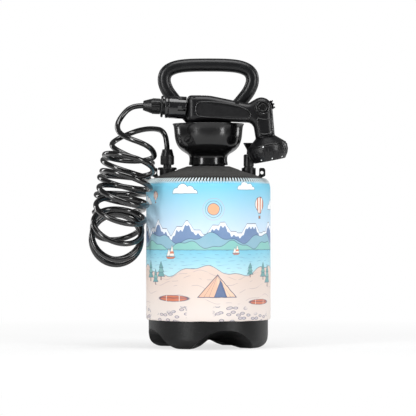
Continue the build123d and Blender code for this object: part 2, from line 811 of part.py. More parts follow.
def make_control_lever():
    """Thumb lever: a hub on the spool, a tab through the slot and a toothed pad."""
    hub = along_set(ring(SPOOL_R + 3.5, SPOOL_R + SNUG, -TAB_WIDTH / 2, TAB_WIDTH / 2), HEAD_X, HEAD_Z)
    low, high = LEVER_ANGLE - TAB_HALF, LEVER_ANGLE + TAB_HALF
    tab = lever_sector(SPOOL_R + 2, HEAD_R + FREE + 1, low, high, TAB_WIDTH)
    pad_r = HEAD_R + FREE
    pad = lever_sector(pad_r, pad_r + 1.6, LEVER_ANGLE - 22, LEVER_ANGLE + 22, 2 * TAB_WIDTH)
    lever = hub + tab + pad
    for step in (-1, 0, 1):
        middle = LEVER_ANGLE + step * 15
        lever += lever_sector(pad_r + 1, pad_r + 3.8, middle - 2.6, middle + 2.6, 2 * TAB_WIDTH)
    return lever


HOUSING_START = TAB_WIDTH / 2 + FREE
HOUSING_END = SET_WIDTH / 2 - SET_WALL - 2.4
HOUSING_R = 8.5


def make_valve_housing():
    """Fixed bush behind the lever that the spool turns in."""
    body = ring(HOUSING_R, SPOOL_R + RUN, -HOUSING_END, -HOUSING_START)
    port_y = -(HOUSING_START + HOUSING_END) / 2
    inlet = Pos(-HOUSING_R, 0, port_y) * Rot(0, 90, 0) * Cylinder(2.4, 8)
    return along_set(body - inlet, HEAD_X, HEAD_Z)


def make_valve_spool():
    spool = rod(SPOOL_R, -HOUSING_END, SET_WIDTH / 2 - CAP_DEPTH - SNUG)
    port_y = -(HOUSING_START + HOUSING_END) / 2
    port = Pos(0, 0, port_y) * Rot(0, 90, 0) * Cylinder(2.4, 3 * SPOOL_R)
    screw = rod(1.5, SET_WIDTH / 2 - 11, SET_WIDTH / 2)
    return along_set(spool - port - screw, HEAD_X, HEAD_Z)


def make_pivot_cap():
    """Round cap over the pivot, dished round its screw."""
    face = SET_WIDTH / 2
    corners = [
        (1.7, face - CAP_DEPTH, 0),
        (CAP_R, face - CAP_DEPTH, 0),
        (CAP_R, face + 1.2, 0.8),
        (CAP_R - 2.2, face + 1.2, 0.6),
        (CAP_R - 3.2, face - 0.9, 0.5),
        (6.8, face - 0.9, 0),
        (6.4, face + 0.2, 0.4),
        (4.8, face + 0.2, 0.4),
        (4.4, face - 1.0, 0),
        (1.7, face - 1.0, 0),
    ]
    return along_set(turned(corners), HEAD_X, HEAD_Z)


def make_pivot_screw():
    seat = SET_WIDTH / 2 - 1.0
    shank = rod(1.4, seat - 8, seat)
    head = rod(3.0, seat, seat + 0.9)
    slot = Pos(0, 0, seat + 0.9) * Box(4.4, 0.9, 0.9)
    return along_set(shank + head - slot, HEAD_X, HEAD_Z)


def make_water_tube():
    """Inner pipe from the tail to the valve housing."""
    start = (BUTT_X + 14, SET_Y, CONNECTOR_Z - 0.8)
    port_y = SET_Y + (HOUSING_START + HOUSING_END) / 2
    end = (HEAD_X - HOUSING_R - SNUG, port_y, HEAD_Z)
    path = FilletPolyline(start, (20, SET_Y, 368.5), (50, port_y, HEAD_Z), end, radius=[40, 30])
    section = Plane(origin=path @ 0, z_dir=path % 0)
    return sweep(section * (Circle(3.4) - Circle(2.2)), path)


# Rose, along +Z from the neck's end

def make_rose_body():
    """Fixed cone between the neck and the turning ring, with the spout it turns on."""
    lip = ROSE_CONE
    corners = [
        (5.0, -8, 0),
        (8.0, -8, 0),
        (8.0, SNUG, 0),
        (NECK_END_HALF, SNUG, 1),
        (NECK_END_HALF + 0.5, 2.4, 1),
        (ROSE_R - 1.2, lip - 1.6, 2),
        (ROSE_R - 1.2, lip, 0),
        (10.0, lip, 0),
        (10.0, lip + 14, 0),
        (5.0, lip + 14, 0),
    ]
    return ROSE_PLACE * turned(corners)


def make_rose_dial():
    """Turning ring with grip flutes, dished at the face."""
    back = ROSE_CONE + FREE
    bore = 10.0 + RUN
    corners = [
        (bore, back, 0),
        (ROSE_R, back, 1.4),
        (ROSE_R, back + 9, 6),
        (ROSE_R - 2, back + 15, 8),
        (ROSE_FACE_R, ROSE_DEPTH, 1.2),
        (ROSE_FACE_R - 2, ROSE_DEPTH, 0.5),
        (ROSE_FACE_R - 3, ROSE_DEPTH - 2.6, 0),
        (ROSE_FACE_R - 3, back + 6, 0),
        (bore + 3, back + 6, 0),
        (bore + 3, back + 4, 0),
        (bore, back + 4, 0),
    ]
    flute = Pos(ROSE_R + 0.7, 0, back + 8) * Rot(0, -14, 0) * Cylinder(ROSE_FLUTE_R, 28)
    keep = ring(2 * ROSE_R, ROSE_FACE_R, back + 2.2, ROSE_DEPTH - 4)
    return ROSE_PLACE * (turned(corners) - [cut & keep for cut in around(flute, ROSE_FLUTES)])


def nozzle_holes():
    """Spray holes in rings on the face plate."""
    holes = []
    for circle_r, count in ((5.5, 6), (10.5, 12), (16.0, 18)):
        hole = Pos(circle_r, 0, ROSE_DEPTH - 4) * Cylinder(0.9, 8)
        holes += around(hole, count)
    return holes


def make_rose_face():
    """Face plate with the spray holes."""
    low = ROSE_DEPTH - 4.2
    outer = ROSE_FACE_R - 3 - SNUG
    top = low + 2.6
    corners = [(0, low, 0), (outer, low, 0), (outer, top - 1, 0), (outer - 3, top, 2), (0, top, 0)]
    return ROSE_PLACE * (turned(corners) - nozzle_holes())


def make_rose_seal():
    return ROSE_PLACE * seal(11.5, 1.2, ROSE_CONE + FREE + 5.6)


# Tail of the handset and the quick connector, along +Z from the butt

def make_tail_nipple():
    """Hollow tail that the quick connector grips, with its O-ring groove."""
    flange = SNUG + TAIL_FLANGE_R * sin(radians(CONNECTOR_TILT))
    corners = [
        (3.5, -16, 0),
        (SPIGOT_R, -16, 0),
        (SPIGOT_R, flange, 0),
        (TAIL_FLANGE_R, flange, 0),
        (TAIL_FLANGE_R, 2.4, 0.5),
        (SPIGOT_R, 2.4, 0),
        (SPIGOT_R, 14, 0),
        (SPIGOT_R - 1.3, 14, 0),
        (SPIGOT_R - 1.3, 16.4, 0),
        (SPIGOT_R, 16.4, 0),
        (SPIGOT_R, 20, 1),
        (3.5, 20, 0),
    ]
    return CONNECTOR_PLACE * turned(corners)


def make_tail_seal():
    return CONNECTOR_PLACE * seal(SPIGOT_R - 0.1, 1.15, 15.2)


def make_connector_body():
    """Connector's core: socket for the tail, ring and hose barb."""
    socket = SPIGOT_R + 1.3
    corners = [
        (socket, 5, 0),
        (BODY_R, 5, 1),
        (BODY_R, RING_START, 0),
        (RING_R, RING_START, 1.0),
        (RING_R, RING_END, 1.4),
        (9.0, RING_END, 0),
        (9.0, RING_END + 7, 0),
        (HOSE_R, RING_END + 9, 0),
        (HOSE_R, COLLET_END - 12, 0),
        (2.4, COLLET_END - 12, 0),
        (2.4, 22, 0),
        (socket, 22, 0),
    ]
    return CONNECTOR_PLACE * turned(corners)


def make_release_sleeve():
    """Sliding sleeve with finger slots at the front and a bead at the back."""
    bore = BODY_R + RUN
    bead = RELEASE_LENGTH - 6
    corners = [
        (bore, 6, 0),
        (bore + 2.4, 6, 0),
        (bore + 2.4, 1.2, 0),
        (RELEASE_R, 1.2, 1),
        (RELEASE_R, bead, 0.8),
        (RELEASE_R - 1.0, bead + 0.8, 0),
        (RELEASE_R, bead + 2, 0.6),
        (RELEASE_R, RELEASE_LENGTH, 1.4),
        (bore, RELEASE_LENGTH, 0),
    ]
    slot = Pos(RELEASE_R, 0, 7) * Box(8, 3.0, 14)
    step = Pos(RELEASE_R, 3.5, 11) * Box(2.4, 5.0, 6)
    return CONNECTOR_PLACE * (turned(corners) - around(slot + step, 6, 15))


def make_connector_claws():
    """Small claws that hold the tail, spread round the socket."""
    claw = Pos(BODY_R - 1.0, 0, 0) * Box(1.2, 4, 3)
    return [CONNECTOR_PLACE * Pos(0, 0, 3.2) * part for part in around(claw, 4, 45)]


def make_hose_collet():
    """Split ring that bites the hose inside the nut."""
    low = RING_END + 10
    body = turned([(HOSE_R + 0.3, low, 0), (8.2, low, 0), (8.0, low + 5, 0.5), (HOSE_R + 0.3, low + 5, 0)])
    return CONNECTOR_PLACE * (body - Pos(6, 0, low) * Box(8, 1.6, 20))


def make_hose_nut_gun():
    length = COLLET_END - RING_END - SNUG
    start = RING_END + SNUG
    nut = fluted_nut(HOSE_NUT_R, COLLET_TIP_R, length, (HOSE_NUT_END - start) / length, HOSE_R + SNUG, 12)
    nut -= rod(9.0 + SNUG, -1, 15.2)
    return CONNECTOR_PLACE * Pos(0, 0, start) * nut


# Hose: two leads and one fat tube round the coil

COIL_LINE = [
    (-116, -50, 327),
    (-126, -76, 250),
    (-144, -66, 166),
    (-146, 40, 166),
    (-139, 50, 250),
    (-120, 42, 320),
]
COIL_BENDS = [80, 50, 50, 80]
TANK_LEAD_TURN = -78  # of the lead's end about the coil, from its left towards the front
GUN_LEAD_TURN = 22


def lead_tube(points, name):
    """A round tube along straight runs joined by the largest arcs they allow."""
    points = [Vector(*point) for point in points]
    radii = [widest_round(*corner) for corner in zip(points, points[1:], points[2:])]
    path = FilletPolyline(*points, radius=radii)
    tube = sweep(Plane(origin=path @ 0, z_dir=path % 0) * Circle(HOSE_R), path)
    expected = pi * HOSE_R**2 * path.length
    print(name, "radii", [round(radius) for radius in radii], "length", round(path.length, 1))
    print(name, "volume over section times length", round(tube.volume / expected, 4))
    return tube


def trimmed_ends(points, amount):
    """A route whose two ends are moved inwards along their runs."""
    points = [Vector(*point) for point in points]
    first = points[0] + (points[1] - points[0]).normalized() * amount
    last = points[-1] + (points[-2] - points[-1]).normalized() * amount
    return [first, *points[1:-1], last]


def make_hose_coil():
    path = FilletPolyline(*COIL_LINE, radius=COIL_BENDS)
    print("coil middle line", round(path.length, 1))
    outer = COIL_MEAN_R + HOSE_R
    shorter = trimmed_ends(COIL_LINE, COIL_SHELL)
    hollow_path = FilletPolyline(*shorter, radius=COIL_BENDS)
    form = sweep(Plane(origin=path @ 0, z_dir=path % 0) * Circle(outer), path)
    hollow_start = Plane(origin=hollow_path @ 0, z_dir=hollow_path % 0)
    return form - sweep(hollow_start * Circle(outer - COIL_SHELL), hollow_path)


def coil_end(end, next_point, turn, before):
    """Where a lead from before comes to rest on the coil's end disc, at a turn about its axis."""
    normal = (Vector(*end) - Vector(*next_point)).normalized()
    disc = Plane(origin=end, x_dir=normal.cross(Vector(0, 1, 0)), z_dir=normal)
    spot = disc.from_local_coords((COIL_MEAN_R * cos(radians(turn)), COIL_MEAN_R * sin(radians(turn)), 0))
    rest = spot
    for _ in range(4):
        slant = radians((Vector(*before) - rest).get_angle(normal))
        rest = spot + normal * (HOSE_R * sin(slant) + TOUCH)
    print("lead ends at", [round(part, 1) for part in rest])
    return tuple(rest)


def make_hose_lead_tank():
    x = OUTLET_X
    points = [
        (x, 0, BARB_Z + TOUCH),
        (x, 0, NUT_TOP_Z + 10),
        (x - 6, 10, NUT_TOP_Z + 30),
        (x - 20, 30, NUT_TOP_Z + 43),
        (x - 45, 58, NUT_TOP_Z + 40),
    ]
    points.append(coil_end(COIL_LINE[-1], COIL_LINE[-2], TANK_LEAD_TURN, points[-1]))
    return lead_tube(points, "hose_lead_tank")


def make_hose_lead_gun():
    back = CONNECTOR_PLACE.position
    axis = Plane(CONNECTOR_PLACE).z_dir
    points = [
        tuple(back + axis * (COLLET_END - 12 + TOUCH)),
        tuple(back + axis * (COLLET_END + 4)),
        (BUTT_X - 89, SET_Y - 1, CONNECTOR_Z + 0.4),
        (BUTT_X - 102, SET_Y - 5, CONNECTOR_Z - 10),
        (BUTT_X - 114, SET_Y - 16, CONNECTOR_Z - 25),
    ]
    points.append(coil_end(COIL_LINE[0], COIL_LINE[1], GUN_LEAD_TURN, points[-1]))
    return lead_tube(points, "hose_lead_gun")


def main():
    os.makedirs("parts", exist_ok=True)
    shell_front, shell_back = make_shells()
    nodes = {
        "tank": make_tank(),
        "sleeve_wrap": make_sleeve_wrap(),
        "sleeve_top_panel": make_sleeve_top_panel(),
        "funnel": make_funnel(),
        "pump_collar": make_pump_collar(),
        "collar_seal": make_collar_seal(),
        "pump_barrel": make_pump_barrel(),
        "foot_valve": make_foot_valve(),
        "rod_guide": make_rod_guide(),
        "pump_rod": make_pump_rod(),
        "piston": make_piston(),
        "piston_seal": make_piston_seal(),
        "pump_handle": make_pump_handle(),
        "handle_pin": make_handle_pin(),
        "outlet_fitting": make_outlet_fitting(),
        "outlet_gasket": make_outlet_gasket(),
        "hose_nut_tank": make_hose_nut_tank(),
        "dip_tube": make_dip_tube(),
        "dip_filter": make_dip_filter(),
        "relief_body": make_relief_body(),
        "relief_gasket": make_relief_gasket(),
        "relief_plug": make_relief_plug(),
        "relief_knob": make_relief_knob(),
        "relief_spring": make_relief_spring(),
        "grip_shell_front": shell_front,
        "grip_shell_back": shell_back,
        "grip_pad_front": make_grip_pad(-1),
        "grip_pad_back": make_grip_pad(1),
        "shell_screws": Compound(children=make_shell_screws()),
        "control_lever": make_control_lever(),
        "valve_housing": make_valve_housing(),
        "valve_spool": make_valve_spool(),
        "pivot_cap": make_pivot_cap(),
        "pivot_screw": make_pivot_screw(),
        "water_tube": make_water_tube(),
        "rose_body": make_rose_body(),
        "rose_dial": make_rose_dial(),
        "rose_face": make_rose_face(),
        "rose_seal": make_rose_seal(),
        "tail_nipple": make_tail_nipple(),
        "tail_seal": make_tail_seal(),
        "connector_body": make_connector_body(),
        "connector_claws": Compound(children=make_connector_claws()),
        "release_sleeve": make_release_sleeve(),
        "hose_collet": make_hose_collet(),
        "hose_nut_gun": make_hose_nut_gun(),
        "hose_coil": make_hose_coil(),
        "hose_lead_tank": make_hose_lead_tank(),
        "hose_lead_gun": make_hose_lead_gun(),
    }
    for name, shape in nodes.items():
        export_step(shape, f"parts/{name}.step")


main()
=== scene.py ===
import json
import math

import bmesh
import bpy
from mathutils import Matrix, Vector, noise


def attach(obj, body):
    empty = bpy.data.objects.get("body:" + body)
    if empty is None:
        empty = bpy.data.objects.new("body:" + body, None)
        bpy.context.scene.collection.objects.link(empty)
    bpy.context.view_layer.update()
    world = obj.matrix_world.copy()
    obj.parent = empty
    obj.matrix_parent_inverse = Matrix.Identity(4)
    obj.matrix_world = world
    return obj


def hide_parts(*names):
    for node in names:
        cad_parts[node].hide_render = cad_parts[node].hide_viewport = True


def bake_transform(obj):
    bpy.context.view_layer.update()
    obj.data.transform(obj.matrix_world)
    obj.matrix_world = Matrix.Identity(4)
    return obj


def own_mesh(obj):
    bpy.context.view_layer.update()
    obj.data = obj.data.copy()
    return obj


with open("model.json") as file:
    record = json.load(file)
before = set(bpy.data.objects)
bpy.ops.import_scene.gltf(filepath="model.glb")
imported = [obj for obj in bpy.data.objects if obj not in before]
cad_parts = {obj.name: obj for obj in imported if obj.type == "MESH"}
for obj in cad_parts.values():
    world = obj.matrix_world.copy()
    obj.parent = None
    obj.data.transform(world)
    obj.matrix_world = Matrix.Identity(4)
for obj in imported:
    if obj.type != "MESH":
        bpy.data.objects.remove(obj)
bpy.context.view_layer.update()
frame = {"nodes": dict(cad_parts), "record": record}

# Portable pressure shower: looks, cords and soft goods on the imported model.
# Metres, in the CAD frame. The front faces -Y.

TAU = 2 * math.pi
SLEEVE_R = 0.0970
SLEEVE_FOOT = 0.0433
SEAM_Z = 0.2616


# Camera at the photograph's angle: level with the lower part of the tank

camera_data = bpy.data.cameras.new("camera")
camera_data.lens = 210.8
camera_data.sensor_width = 36
camera_data.clip_end = 50
camera = bpy.data.objects.new("camera", camera_data)
bpy.context.collection.objects.link(camera)
camera.location = (-0.0005, -3.8, 0.1916)
target = Vector((-0.0005, 0, 0.2165))
camera.rotation_euler = (target - camera.location).to_track_quat("-Z", "Y").to_euler()
bpy.context.scene.camera = camera


# Shader expressions

class Value:
    """A number in a shader tree that can be used in sums."""

    def __init__(self, tree, socket):
        self.tree = tree
        self.socket = socket

    def math(self, operation, *others):
        node = self.tree.nodes.new("ShaderNodeMath")
        node.operation = operation
        for entry, value in zip(node.inputs, (self, *others)):
            if isinstance(value, Value):
                self.tree.links.new(value.socket, entry)
            else:
                entry.default_value = value
        return Value(self.tree, node.outputs[0])

    def __add__(self, other):
        return self.math("ADD", other)

    def __sub__(self, other):
        return self.math("SUBTRACT", other)

    def __rsub__(self, other):
        return (self * -1) + other

    def __mul__(self, other):
        return self.math("MULTIPLY", other)

    def __truediv__(self, other):
        return self.math("DIVIDE", other)

    def __neg__(self):
        return self * -1

    __radd__ = __add__
    __rmul__ = __mul__

    def low(self, other):
        return self.math("MINIMUM", other)

    def high(self, other):
        return self.math("MAXIMUM", other)

    def size(self):
        return self.math("ABSOLUTE")

    def sine(self):
        return self.math("SINE")

    def clamped(self):
        held = self.math("ADD", 0.0)
        held.socket.node.use_clamp = True
        return held

    def inside(self, soft=0.15):
        """1 where the distance is below 0, with a soft edge."""
        return (0.5 - self / (2 * soft)).clamped()

    def stroke(self, width, soft=0.15):
        """1 within half the width of the zero line."""
        return (self.size() - width / 2).inside(soft)


def new_tree(name):
    material = bpy.data.materials.new(name)
    material.use_nodes = True
    tree = material.node_tree
    return material, tree, tree.nodes["Principled BSDF"]


def coordinates(tree, kind="Object"):
    node = tree.nodes.new("ShaderNodeTexCoord")
    return node.outputs[kind]


def noise_value(tree, vector, scale, detail=3.0, roughness=0.5):
    node = tree.nodes.new("ShaderNodeTexNoise")
    node.inputs["Scale"].default_value = scale
    node.inputs["Detail"].default_value = detail
    node.inputs["Roughness"].default_value = roughness
    tree.links.new(vector, node.inputs["Vector"])
    return Value(tree, node.outputs["Fac"])


def spread(value, low, high, out_low, out_high):
    """A value's stretch from low to high carried to another stretch."""
    node = value.tree.nodes.new("ShaderNodeMapRange")
    value.tree.links.new(value.socket, node.inputs["Value"])
    for entry, number in zip(("From Min", "From Max", "To Min", "To Max"), (low, high, out_low, out_high)):
        node.inputs[entry].default_value = number
    return Value(value.tree, node.outputs["Result"])


def mixed(tree, factor, first, second):
    """A colour between two, by a value."""
    node = tree.nodes.new("ShaderNodeMix")
    node.data_type = "RGBA"
    tree.links.new(factor.socket, node.inputs["Factor"])
    sockets = [entry for entry in node.inputs if entry.type == "RGBA"]
    for entry, colour in zip(sockets, (first, second)):
        if isinstance(colour, tuple):
            entry.default_value = (*colour, 1)
        else:
            tree.links.new(colour, entry)
    return [out for out in node.outputs if out.type == "RGBA"][0]


def bump(tree, shader, height, strength, distance=0.001):
    node = tree.nodes.new("ShaderNodeBump")
    node.inputs["Strength"].default_value = strength
    node.inputs["Distance"].default_value = distance
    tree.links.new(height.socket, node.inputs["Height"])
    tree.links.new(node.outputs["Normal"], shader.inputs["Normal"])


def rgb(red, green, blue):
    """Linear colour of a displayed one from 0 to 255."""
    def linear(part):
        part /= 255
        return part / 12.92 if part <= 0.04045 else ((part + 0.055) / 1.055) ** 2.4
    return linear(red), linear(green), linear(blue)


def moulded(name, colour, rough, grain=0.15, grain_scale=900, scuffs=0.0, coat=0.0, specular=0.5):
    """Moulded plastic or rubber: fine grain, uneven gloss and faint scuffs."""
    material, tree, shader = new_tree(name)
    place = coordinates(tree)
    broad = noise_value(tree, place, 22, 4, 0.6)
    fine = noise_value(tree, place, grain_scale, 2, 0.5)
    dark = tuple(part * 0.82 for part in colour)
    light = tuple(min(part * 1.2 + 0.002, 1) for part in colour)
    base = mixed(tree, spread(broad, 0.3, 0.7, 0, 1), dark, light)
    if scuffs:
        stretched = tree.nodes.new("ShaderNodeMapping")
        stretched.inputs["Scale"].default_value = (1, 1, 6)
        tree.links.new(place, stretched.inputs["Vector"])
        marks = noise_value(tree, stretched.outputs["Vector"], 60, 6, 0.72)
        marks = spread(marks, 0.58, 0.74, 0, scuffs)
        base = mixed(tree, marks.clamped(), base, tuple(min(part * 3 + 0.03, 1) for part in colour))
    tree.links.new(base, shader.inputs["Base Color"])
    roughness = spread(broad, 0.3, 0.7, rough * 0.88, rough * 1.12)
    tree.links.new(roughness.socket, shader.inputs["Roughness"])
    shader.inputs["Specular IOR Level"].default_value = specular
    shader.inputs["Coat Weight"].default_value = coat
    shader.inputs["Coat Roughness"].default_value = 0.08
    bump(tree, shader, fine + broad * 0.5, grain)
    return material


def metal(name, colour, rough):
    material, tree, shader = new_tree(name)
    place = coordinates(tree)
    streaks = noise_value(tree, place, 400, 4, 0.6)
    tree.links.new(spread(streaks, 0.3, 0.7, rough * 0.8, rough * 1.3).socket, shader.inputs["Roughness"])
    base = mixed(tree, streaks, tuple(part * 0.85 for part in colour), colour)
    tree.links.new(base, shader.inputs["Base Color"])
    shader.inputs["Metallic"].default_value = 1
    bump(tree, shader, streaks, 0.1)
    return material


FINISH = {
    "tank_plastic": moulded("tank_plastic", rgb(13, 13, 14), 0.34, 0.22, 500, scuffs=0.35, specular=0.3),
    "gloss_black": moulded("gloss_black", rgb(8, 8, 9), 0.18, 0.04, 700, coat=0.2, specular=0.4),
    "satin_black": moulded("satin_black", rgb(14, 14, 15), 0.32, 0.14, specular=0.35),
    "handle_plastic": moulded("handle_plastic", rgb(13, 14, 16), 0.32, 0.2, 700, specular=0.35),
    "handset_plastic": moulded("handset_plastic", rgb(12, 12, 14), 0.32, 0.2, 800, specular=0.35),
    "grip_rubber": moulded("grip_rubber", rgb(11, 11, 13), 0.42, 0.3, 1200, specular=0.3),
    "connector_gloss": moulded("connector_gloss", rgb(18, 18, 20), 0.17, 0.05, 600, coat=0.4),
    "seal_rubber": moulded("seal_rubber", rgb(20, 20, 20), 0.6, 0.2, 1200),
    "inner_plastic": moulded("inner_plastic", rgb(196, 196, 192), 0.45, 0.1, 600),
    "hose": moulded("hose", rgb(12, 12, 13), 0.16, 0.03, 500, coat=0.5),
    "steel": metal("steel", (0.56, 0.56, 0.55), 0.3),
}


def slot_of(node):
    for subpart in frame["record"]["subparts"]:
        if subpart["node"] == node:
            return subpart["material_slot"]


def dress(piece, material):
    piece.data.materials.clear()
    piece.data.materials.append(material)


def dress_nodes():
    for node, piece in frame["nodes"].items():
        slot = slot_of(node)
        if slot in FINISH and piece.type == "MESH":
            dress(piece, FINISH[slot])


def mesh_piece(name, vertices, faces, material, smooth=True):
    mesh = bpy.data.meshes.new(name)
    mesh.from_pydata([tuple(v) for v in vertices], [], faces)
    mesh.update()
    if smooth:
        mesh.shade_smooth()
    piece = bpy.data.objects.new(name, mesh)
    bpy.context.collection.objects.link(piece)
    dress(piece, material)
    return piece


# Printed sleeve: a generic lake shore in soft colours, drawn by its shader

NAVY = rgb(38, 50, 92)
TERRACOTTA = rgb(206, 122, 92)
SLATE = rgb(112, 140, 180)
CREAM = rgb(246, 238, 228)


class Picture:
    """Colours laid over each other, in mm: u across and v up, from shader values of its tree."""

    def __init__(self, tree, u, v, colour=None):
        self.tree = tree
        self.u = u
        self.v = v
        self.colour = colour

    def wash(self, factor, colour):
        self.colour = mixed(self.tree, factor, self.colour, colour)

    def outline(self, distance, width=0.75, colour=NAVY, strength=0.85):
        self.wash(distance.stroke(width, 0.3) * strength, colour)

    def shape(self, distance, colour, line=0.75):
        self.wash(distance.inside(0.3), colour)
        if line:
            self.outline(distance, line)

    def disc(self, u, v, radius):
        across, up = self.u - u, self.v - v
        return (across * across + up * up).math("SQRT") - radius

    def box(self, u, v, half_width, half_height):
        return ((self.u - u).size() - half_width).high((self.v - v).size() - half_height)

    def peak(self, u, foot, half, height):
        """A triangle that stands on foot."""
        side = (self.u - u).size() * height + (self.v - foot) * half - half * height
        return (side / math.hypot(half, height)).high(foot - self.v)

    def ridge(self, level, *waves):
        """Distance above a wavy skyline; each wave is (height, length, shift, jagged)."""
        height = None
        for high, length, shift, jagged in waves:
            if jagged:
                wave = (self.u + shift + 10 * length).math("PINGPONG", length) * (high / length)
            else:
                wave = ((self.u + shift) * (TAU / length)).sine() * high
            height = wave if height is None else height + wave
        return self.v - height - level

    def stamp(self, draw, places):
        """One motif, drawn about its own zero point, laid down at each (u, v, size)."""
        group = bpy.data.node_groups.new(draw.__name__, "ShaderNodeTree")
        for name, kind in (("u", "NodeSocketFloat"), ("v", "NodeSocketFloat"), ("under", "NodeSocketColor")):
            group.interface.new_socket(name=name, in_out="INPUT", socket_type=kind)
        group.interface.new_socket(name="over", in_out="OUTPUT", socket_type="NodeSocketColor")
        entry = group.nodes.new("NodeGroupInput")
        leave = group.nodes.new("NodeGroupOutput")
        across, up = Value(group, entry.outputs[0]), Value(group, entry.outputs[1])
        motif = Picture(group, across, up, entry.outputs[2])
        draw(motif)
        group.links.new(motif.colour, leave.inputs[0])
        for u, v, size in places:
            node = self.tree.nodes.new("ShaderNodeGroup")
            node.node_tree = group
            self.tree.links.new(((self.u - u) / size).socket, node.inputs[0])
            self.tree.links.new(((self.v - v) / size).socket, node.inputs[1])
            self.tree.links.new(self.colour, node.inputs[2])
            self.colour = node.outputs[0]


def cloud(art):
    puffs = None
    for across, up, radius in ((-13, 2, 6.5), (-3, 6, 9), (9, 4, 7.5), (17, 1.5, 4.5)):
        puff = art.disc(across, up, radius)
        puffs = puff if puffs is None else puffs.low(puff)
    art.shape(puffs.high(-art.v), rgb(240, 246, 250))


def pine(art):
    art.shape(art.box(0, 1, 1, 3), rgb(150, 116, 100), 0.5)
    for level, half, height in ((3, 8, 12), (9.5, 6.4, 10.5), (15.5, 4.6, 9.5)):
        colour = rgb(104, 158, 160) if level != 9.5 else rgb(122, 174, 172)
        art.shape(art.peak(0, level, half, height), colour, 0.6)


def boat(art):
    hull = (art.u.size() - 8 - art.v * 1.2).high(art.v.size() - 1.8)
    art.shape(art.peak(-3.4, 3, 5.2, 13), CREAM, 0.6)
    sail = art.peak(3, 3, 5.4, 19)
    art.shape(sail, CREAM, 0.6)
    art.wash(sail.high((art.v - 9).size() - 2).inside(0.3), TERRACOTTA)
    art.shape(hull, TERRACOTTA, 0.6)


def balloon(art):
    envelope = art.disc(0, 0, 11).low(art.disc(0, -7, 6).high(-12 - art.v))
    envelope = envelope.low((art.u.size() - 5.5 - (art.v + 10) * 0.5).high(art.v.high(-14 - art.v)))
    art.shape(envelope, CREAM, 0.7)
    art.wash((0.2 - (art.u * 0.9).sine()).inside(0.3) * envelope.inside(0.3), TERRACOTTA)
    art.outline(envelope)
    for side in (-1, 1):
        rope = (art.u - 1.8 * side).size() - 0.2
        art.wash(rope.high((art.v + 16).size() - 2.5).inside(0.2), NAVY)
    art.shape(art.box(0, -20, 2.4, 1.9), rgb(176, 130, 96), 0.6)


def tent(art):
    body = art.peak(0, 0, 30, 34)
    art.shape(body, rgb(240, 205, 180), 0.9)
    art.wash(body.high(art.u).inside(0.3) * 0.5, rgb(222, 168, 140))
    art.shape(art.peak(5, 0, 10, 26), rgb(92, 112, 150), 0.7)
    for share in (0.45, 0.72):
        art.wash(art.peak(0, -1, 30 * share, 34).stroke(0.5, 0.3) * body.inside(0.3) * 0.6, NAVY)
    art.outline(body, 0.9)


def canoe(art):
    across, up = art.u / 27, art.v / 4.6
    hull = ((across * across + up * up).math("SQRT") - 1) * 4.6
    art.shape(hull, TERRACOTTA, 0.7)
    art.wash((art.v - 0.7).stroke(0.7, 0.3) * hull.inside(0.3), NAVY)
    art.wash((art.u.size() - 12).stroke(1.2, 0.3) * hull.inside(0.3) * 0.8, CREAM)


